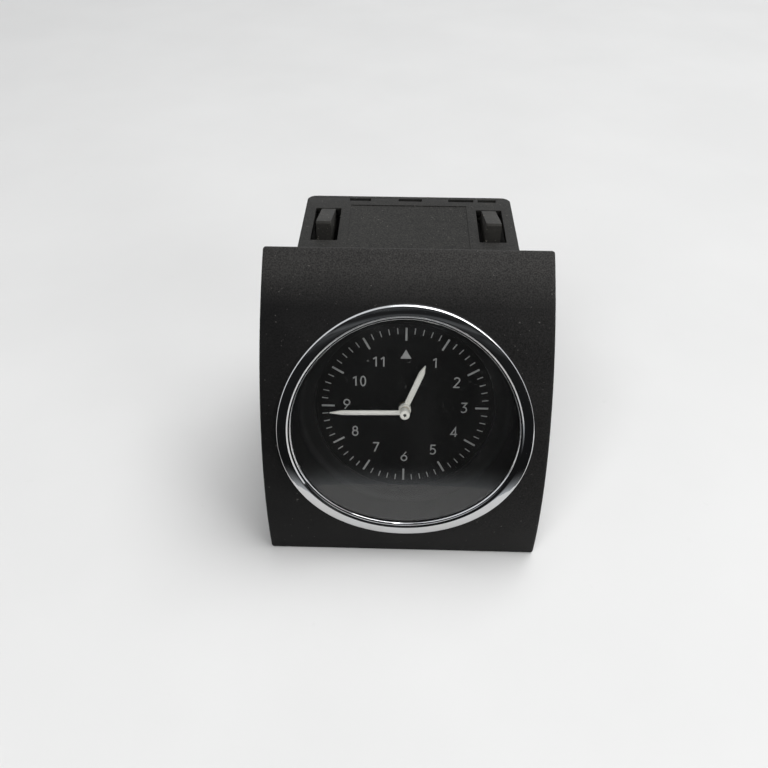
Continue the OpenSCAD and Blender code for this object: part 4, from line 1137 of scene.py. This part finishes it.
def pinTree():
    graph, given = shapeTree("connectorPins", ["radius", "length", "tip", "pitch"])
    columns, rows = pinShape["columns"], pinShape["rows"]
    parts = [graph.add("GeometryNodeMeshCylinder", None, {
        "Vertices": pinShape["sides"], "Radius": given["radius"], "Depth": given["length"] - given["tip"] * 2
    })]
    for side, flip in ((-1, math.pi), (1, 0)):
        tip = graph.add("GeometryNodeMeshCone", None, {
            "Vertices": pinShape["sides"], "Radius Top": given["radius"] * pinShape["tipShare"],
            "Radius Bottom": given["radius"], "Depth": given["tip"]
        })
        shift = vector(graph, z=(given["length"] / 2 - given["tip"]) * side)
        parts.append(graph.add("GeometryNodeTransform", None, {
            "Geometry": tip, "Translation": shift, "Rotation": (flip, 0, 0)
        }))
    pin = graph.add("GeometryNodeJoinGeometry", None, {"Geometry": parts})
    grid = graph.add("GeometryNodeMeshGrid", None, {
        "Size X": given["pitch"] * (columns - 1), "Size Y": given["pitch"] * (rows - 1),
        "Vertices X": columns, "Vertices Y": rows
    })
    endTree(graph, graph.add("GeometryNodeInstanceOnPoints", None, {"Points": grid, "Instance": pin}),
            finishes["pin_gold"])
    return graph


pins = grownMesh("connector_pins_set", pinTree(), bpy.data.meshes.new("pins"), pinShape)
pins.transform(Matrix.Translation(middleOf("connector_pins")) @ Matrix.Rotation(math.radians(-90), 4, "X"))
settle("connector_pins_set", pins, "connector_pins", 40)
print("screws, coil and pins grown")

# Moulded pieces: merged copies with softened edges, by the width of the softening
softShape = {"merge": 0.002, "flat": 0.4, "sharp": 32, "segments": 2, "profile": 0.6}
softEdges = {
    "housing": 0.35, "rear_cover": 0.3, "latch_left": 0.4, "latch_right": 0.4, "connector_shell": 0.25,
    "board_chips": 0.15, "lamps": 0.12, "capacitor": 0.35, "main_board": 0.12, "motor_stator": 0.15,
    "movement_front_plate": 0.12, "movement_rear_plate": 0.12
}


def softened(node, width):
    shape = bmesh.new()
    shape.from_mesh(frame["nodes"][node].data)
    bmesh.ops.remove_doubles(shape, verts=shape.verts, dist=softShape["merge"] * mm)
    flat, sharp = math.radians(softShape["flat"]), math.radians(softShape["sharp"])
    bmesh.ops.dissolve_limit(shape, angle_limit=flat, verts=shape.verts, edges=shape.edges)
    edges = [edge for edge in shape.edges if len(edge.link_faces) == 2 and edge.calc_face_angle(0) > sharp]
    bmesh.ops.bevel(shape, geom=edges, offset=width * mm, offset_type="OFFSET", affect="EDGES",
                    segments=softShape["segments"], profile=softShape["profile"], clamp_overlap=True)
    bmesh.ops.triangulate(shape, faces=[face for face in shape.faces if len(face.verts) > 4])
    mesh = bpy.data.meshes.new(node + "_soft")
    shape.to_mesh(mesh)
    shape.free()
    settle(node + "_soft", mesh, node, 30)


for node, width in softEdges.items():
    softened(node, width)

# Every other node keeps its shape and gets its finish
for node, piece in frame["nodes"].items():
    piece.data.materials.clear()
    piece.data.materials.append(finishes[slotOf[node]])
print("moulded pieces softened, finishes set")

# Stage: a pale floor that fades into a pale world, an overhead softbox, two weak lamps in front
# and two dim glowing sheets, seen only in reflections, that paint the reflection of the room, in millimetres
worldShape = {"tint": (0.95, 0.97, 1.0), "lit": 0.1, "seen": 0.98}
floorShape = {
    "size": 4000, "drop": 0.05, "fade": (700, 1900), "rough": 0.6, "specular": 0.25,
    "pale": (0.80, 0.80, 0.795), "paler": (0.83, 0.83, 0.825), "mottle": 90, "mottleRange": (0.35, 0.7),
    "speck": 5, "speckRange": (0.72, 0.8), "speckShare": 0.12, "speckTone": (0.6, 0.6, 0.58)
}
screenShape = {"radius": 115, "sweep": (-55, 40), "span": (0, 620)}
raisedShape = {"radius": 115, "sweep": (40, 65), "span": (48, 620)}
roomLook = {  # painted reflection of a dim room: heights and places on the sheets, and how bright they glow there
    "tint": (0.92, 0.96, 1), "height": 160, "levels": (0.008, 0.019),
    "streak": 26, "streakAlong": (0.2, 0.2, 1), "streakRange": (0.45, 0.65), "streakSpan": (130, 165),
    "streakLevel": 0.11, "footLevel": 0.66, "footHeight": 24, "footFront": (-110, -94), "footEnds": (-90, -80)
}
lampShapes = {
    "softbox": {
        "place": (660, 450, 2000), "aim": (0, 200, 0), "size": (1900, 1500), "power": 37.5, "shines": True
    },
    "fill": {
        "place": (-400, -750, 950), "aim": (0, 0, 40), "size": (500, 500), "power": 5.2, "shines": False
    },
    "side": {
        "place": (900, -750, 500), "aim": (0, 0, 40), "size": (500, 500), "power": 3.4, "shines": True
    }
}


def seenRays(graph):  # 1 for what the camera sees, straight or by reflection or through glass
    node = graph.add("ShaderNodeLightPath").socket.node
    camera, glossy, through = (Wire(graph, node.outputs[kind + " Ray"])
                               for kind in ("Is Camera", "Is Glossy", "Is Transmission"))
    return camera + glossy + through


def addStage(name, points, faces, material):
    mesh = bpy.data.meshes.new(name)
    mesh.from_pydata([Vector(point) * mm for point in points], [], faces)
    mesh.materials.append(material)
    piece = bpy.data.objects.new(name, mesh)
    scene.collection.objects.link(piece)
    return piece


def makeFloor():
    f = Finish("floor_pale")
    mottle = f.limits(f.noise(floorShape["mottle"], 4), *floorShape["mottleRange"])
    speck = f.limits(f.noise(floorShape["speck"], 2), *floorShape["speckRange"])
    colour = f.blend(mottle, floorShape["pale"], floorShape["paler"])
    colour = f.blend(speck * floorShape["speckShare"], colour, floorShape["speckTone"])
    sheet = f.shader(colour=colour, rough=floorShape["rough"], specular=floorShape["specular"])
    values = {"Color": solid(worldShape["tint"]), "Strength": worldShape["seen"]}
    glow = f.add("ShaderNodeEmission", None, values)
    x, y, z = f.axes()
    near, far = ((reach * mm) ** 2 for reach in floorShape["fade"])
    faded = f.limits(x * x + y * y, near, far) * seenRays(f)
    half, drop = floorShape["size"] / 2, -floorShape["drop"]
    corners = [(-half, -half, drop), (half, -half, drop), (half, half, drop), (-half, half, drop)]
    addStage("floor", corners, [(0, 1, 2, 3)], f.finished(f.mixed(faded, sheet, glow)))


def addReflector(name, shape, material):  # an upright curved sheet that only reflections see
    first, last = shape["sweep"]
    line = [math.radians(angle) for angle in range(first, last + 1, 5)]
    radius, count = shape["radius"], len(line)
    points = [(radius * math.sin(a), -radius * math.cos(a), z) for z in shape["span"] for a in line]
    faces = [(j, j + 1, count + j + 1, count + j) for j in range(count - 1)]
    piece = addStage(name, points, faces, material)
    piece.visible_camera = piece.visible_diffuse = piece.visible_shadow = False


def makeScreens():  # painted reflection of the dim room in front: glowing sheets with streaks up high and a bright band at the foot
    f = Finish("screen_dim")
    x, y, z = f.axes()

    def reached(value, span, lowTo=0.0, highTo=1.0):
        return f.limits(value, span[0] * mm, span[1] * mm, lowTo, highTo)

    bands = f.noise(roomLook["streak"], 3, f.stretched(roomLook["streakAlong"]))
    high = reached(z, roomLook["streakSpan"], 0.0, roomLook["streakLevel"])
    streak = f.limits(bands, *roomLook["streakRange"]) * high
    rise = reached(z, (0, roomLook["footHeight"]), 1.0, 0.0)
    ends = reached(y, roomLook["footFront"], 1.0, 0.0) + reached(y, roomLook["footEnds"])
    # a bright band along the sheets' foot, painted reflection
    foot = roomLook["footLevel"] * rise * rise * ends
    level = reached(z, (0, roomLook["height"]), *roomLook["levels"]) + streak + foot
    glow = f.add("ShaderNodeEmission", None, {"Color": f.blend(level, (0, 0, 0), roomLook["tint"])})
    material = f.finished(glow)
    addReflector("screen", screenShape, material)
    addReflector("screen_raised", raisedShape, material)


def makeWorld():  # dim where it lights, pale where the camera and reflections see it
    world = bpy.data.worlds.new("studio")
    world.use_nodes = True
    world.node_tree.nodes.clear()
    g = Graph(world.node_tree)
    level = worldShape["lit"] + seenRays(g) * (worldShape["seen"] - worldShape["lit"])
    back = g.add("ShaderNodeBackground", None, {"Color": solid(worldShape["tint"]), "Strength": level})
    g.add("ShaderNodeOutputWorld", None, {"Surface": back})
    scene.world = world


def addLamp(name, shape):
    lamp = bpy.data.lights.new(name, "AREA")
    lamp.shape = "RECTANGLE"
    lamp.size, lamp.size_y = (size * mm for size in shape["size"])
    lamp.energy = shape["power"]
    place, aim = Vector(shape["place"]) * mm, Vector(shape["aim"]) * mm
    lampObject = bpy.data.objects.new(name, lamp)
    lampObject.location = place
    lampObject.rotation_euler = (aim - place).to_track_quat("-Z", "Y").to_euler()
    lampObject.visible_glossy = shape["shines"]
    scene.collection.objects.link(lampObject)


makeFloor()
makeScreens()
for name, shape in lampShapes.items():
    addLamp(name, shape)
makeWorld()

# Camera: place from the dial's centre, in millimetres, the way it looks and its roll
cameraShape = {
    "fromDial": (-1.8, -178.7, 169.4), "forward": (-0.021, 0.7458, -0.6658), "roll": 0.07, "lens": 35.21,
    "sensor": 36, "near": 10
}


def makeCamera():
    camera = bpy.data.cameras.new("camera")
    camera.lens = cameraShape["lens"]
    camera.sensor_width = cameraShape["sensor"]
    camera.clip_start = cameraShape["near"] * mm
    cameraObject = bpy.data.objects.new("camera", camera)
    scene.collection.objects.link(cameraObject)
    look = Vector(cameraShape["forward"]).to_track_quat("-Z", "Y").to_matrix().to_4x4()
    roll = Matrix.Rotation(math.radians(cameraShape["roll"]), 4, "Z")
    place = Matrix.Translation(dialPoint + Vector(cameraShape["fromDial"]) * mm)
    cameraObject.matrix_world = place @ look @ roll
    scene.camera = cameraObject


makeCamera()
print("stage and camera set")

bpy.context.view_layer.update()
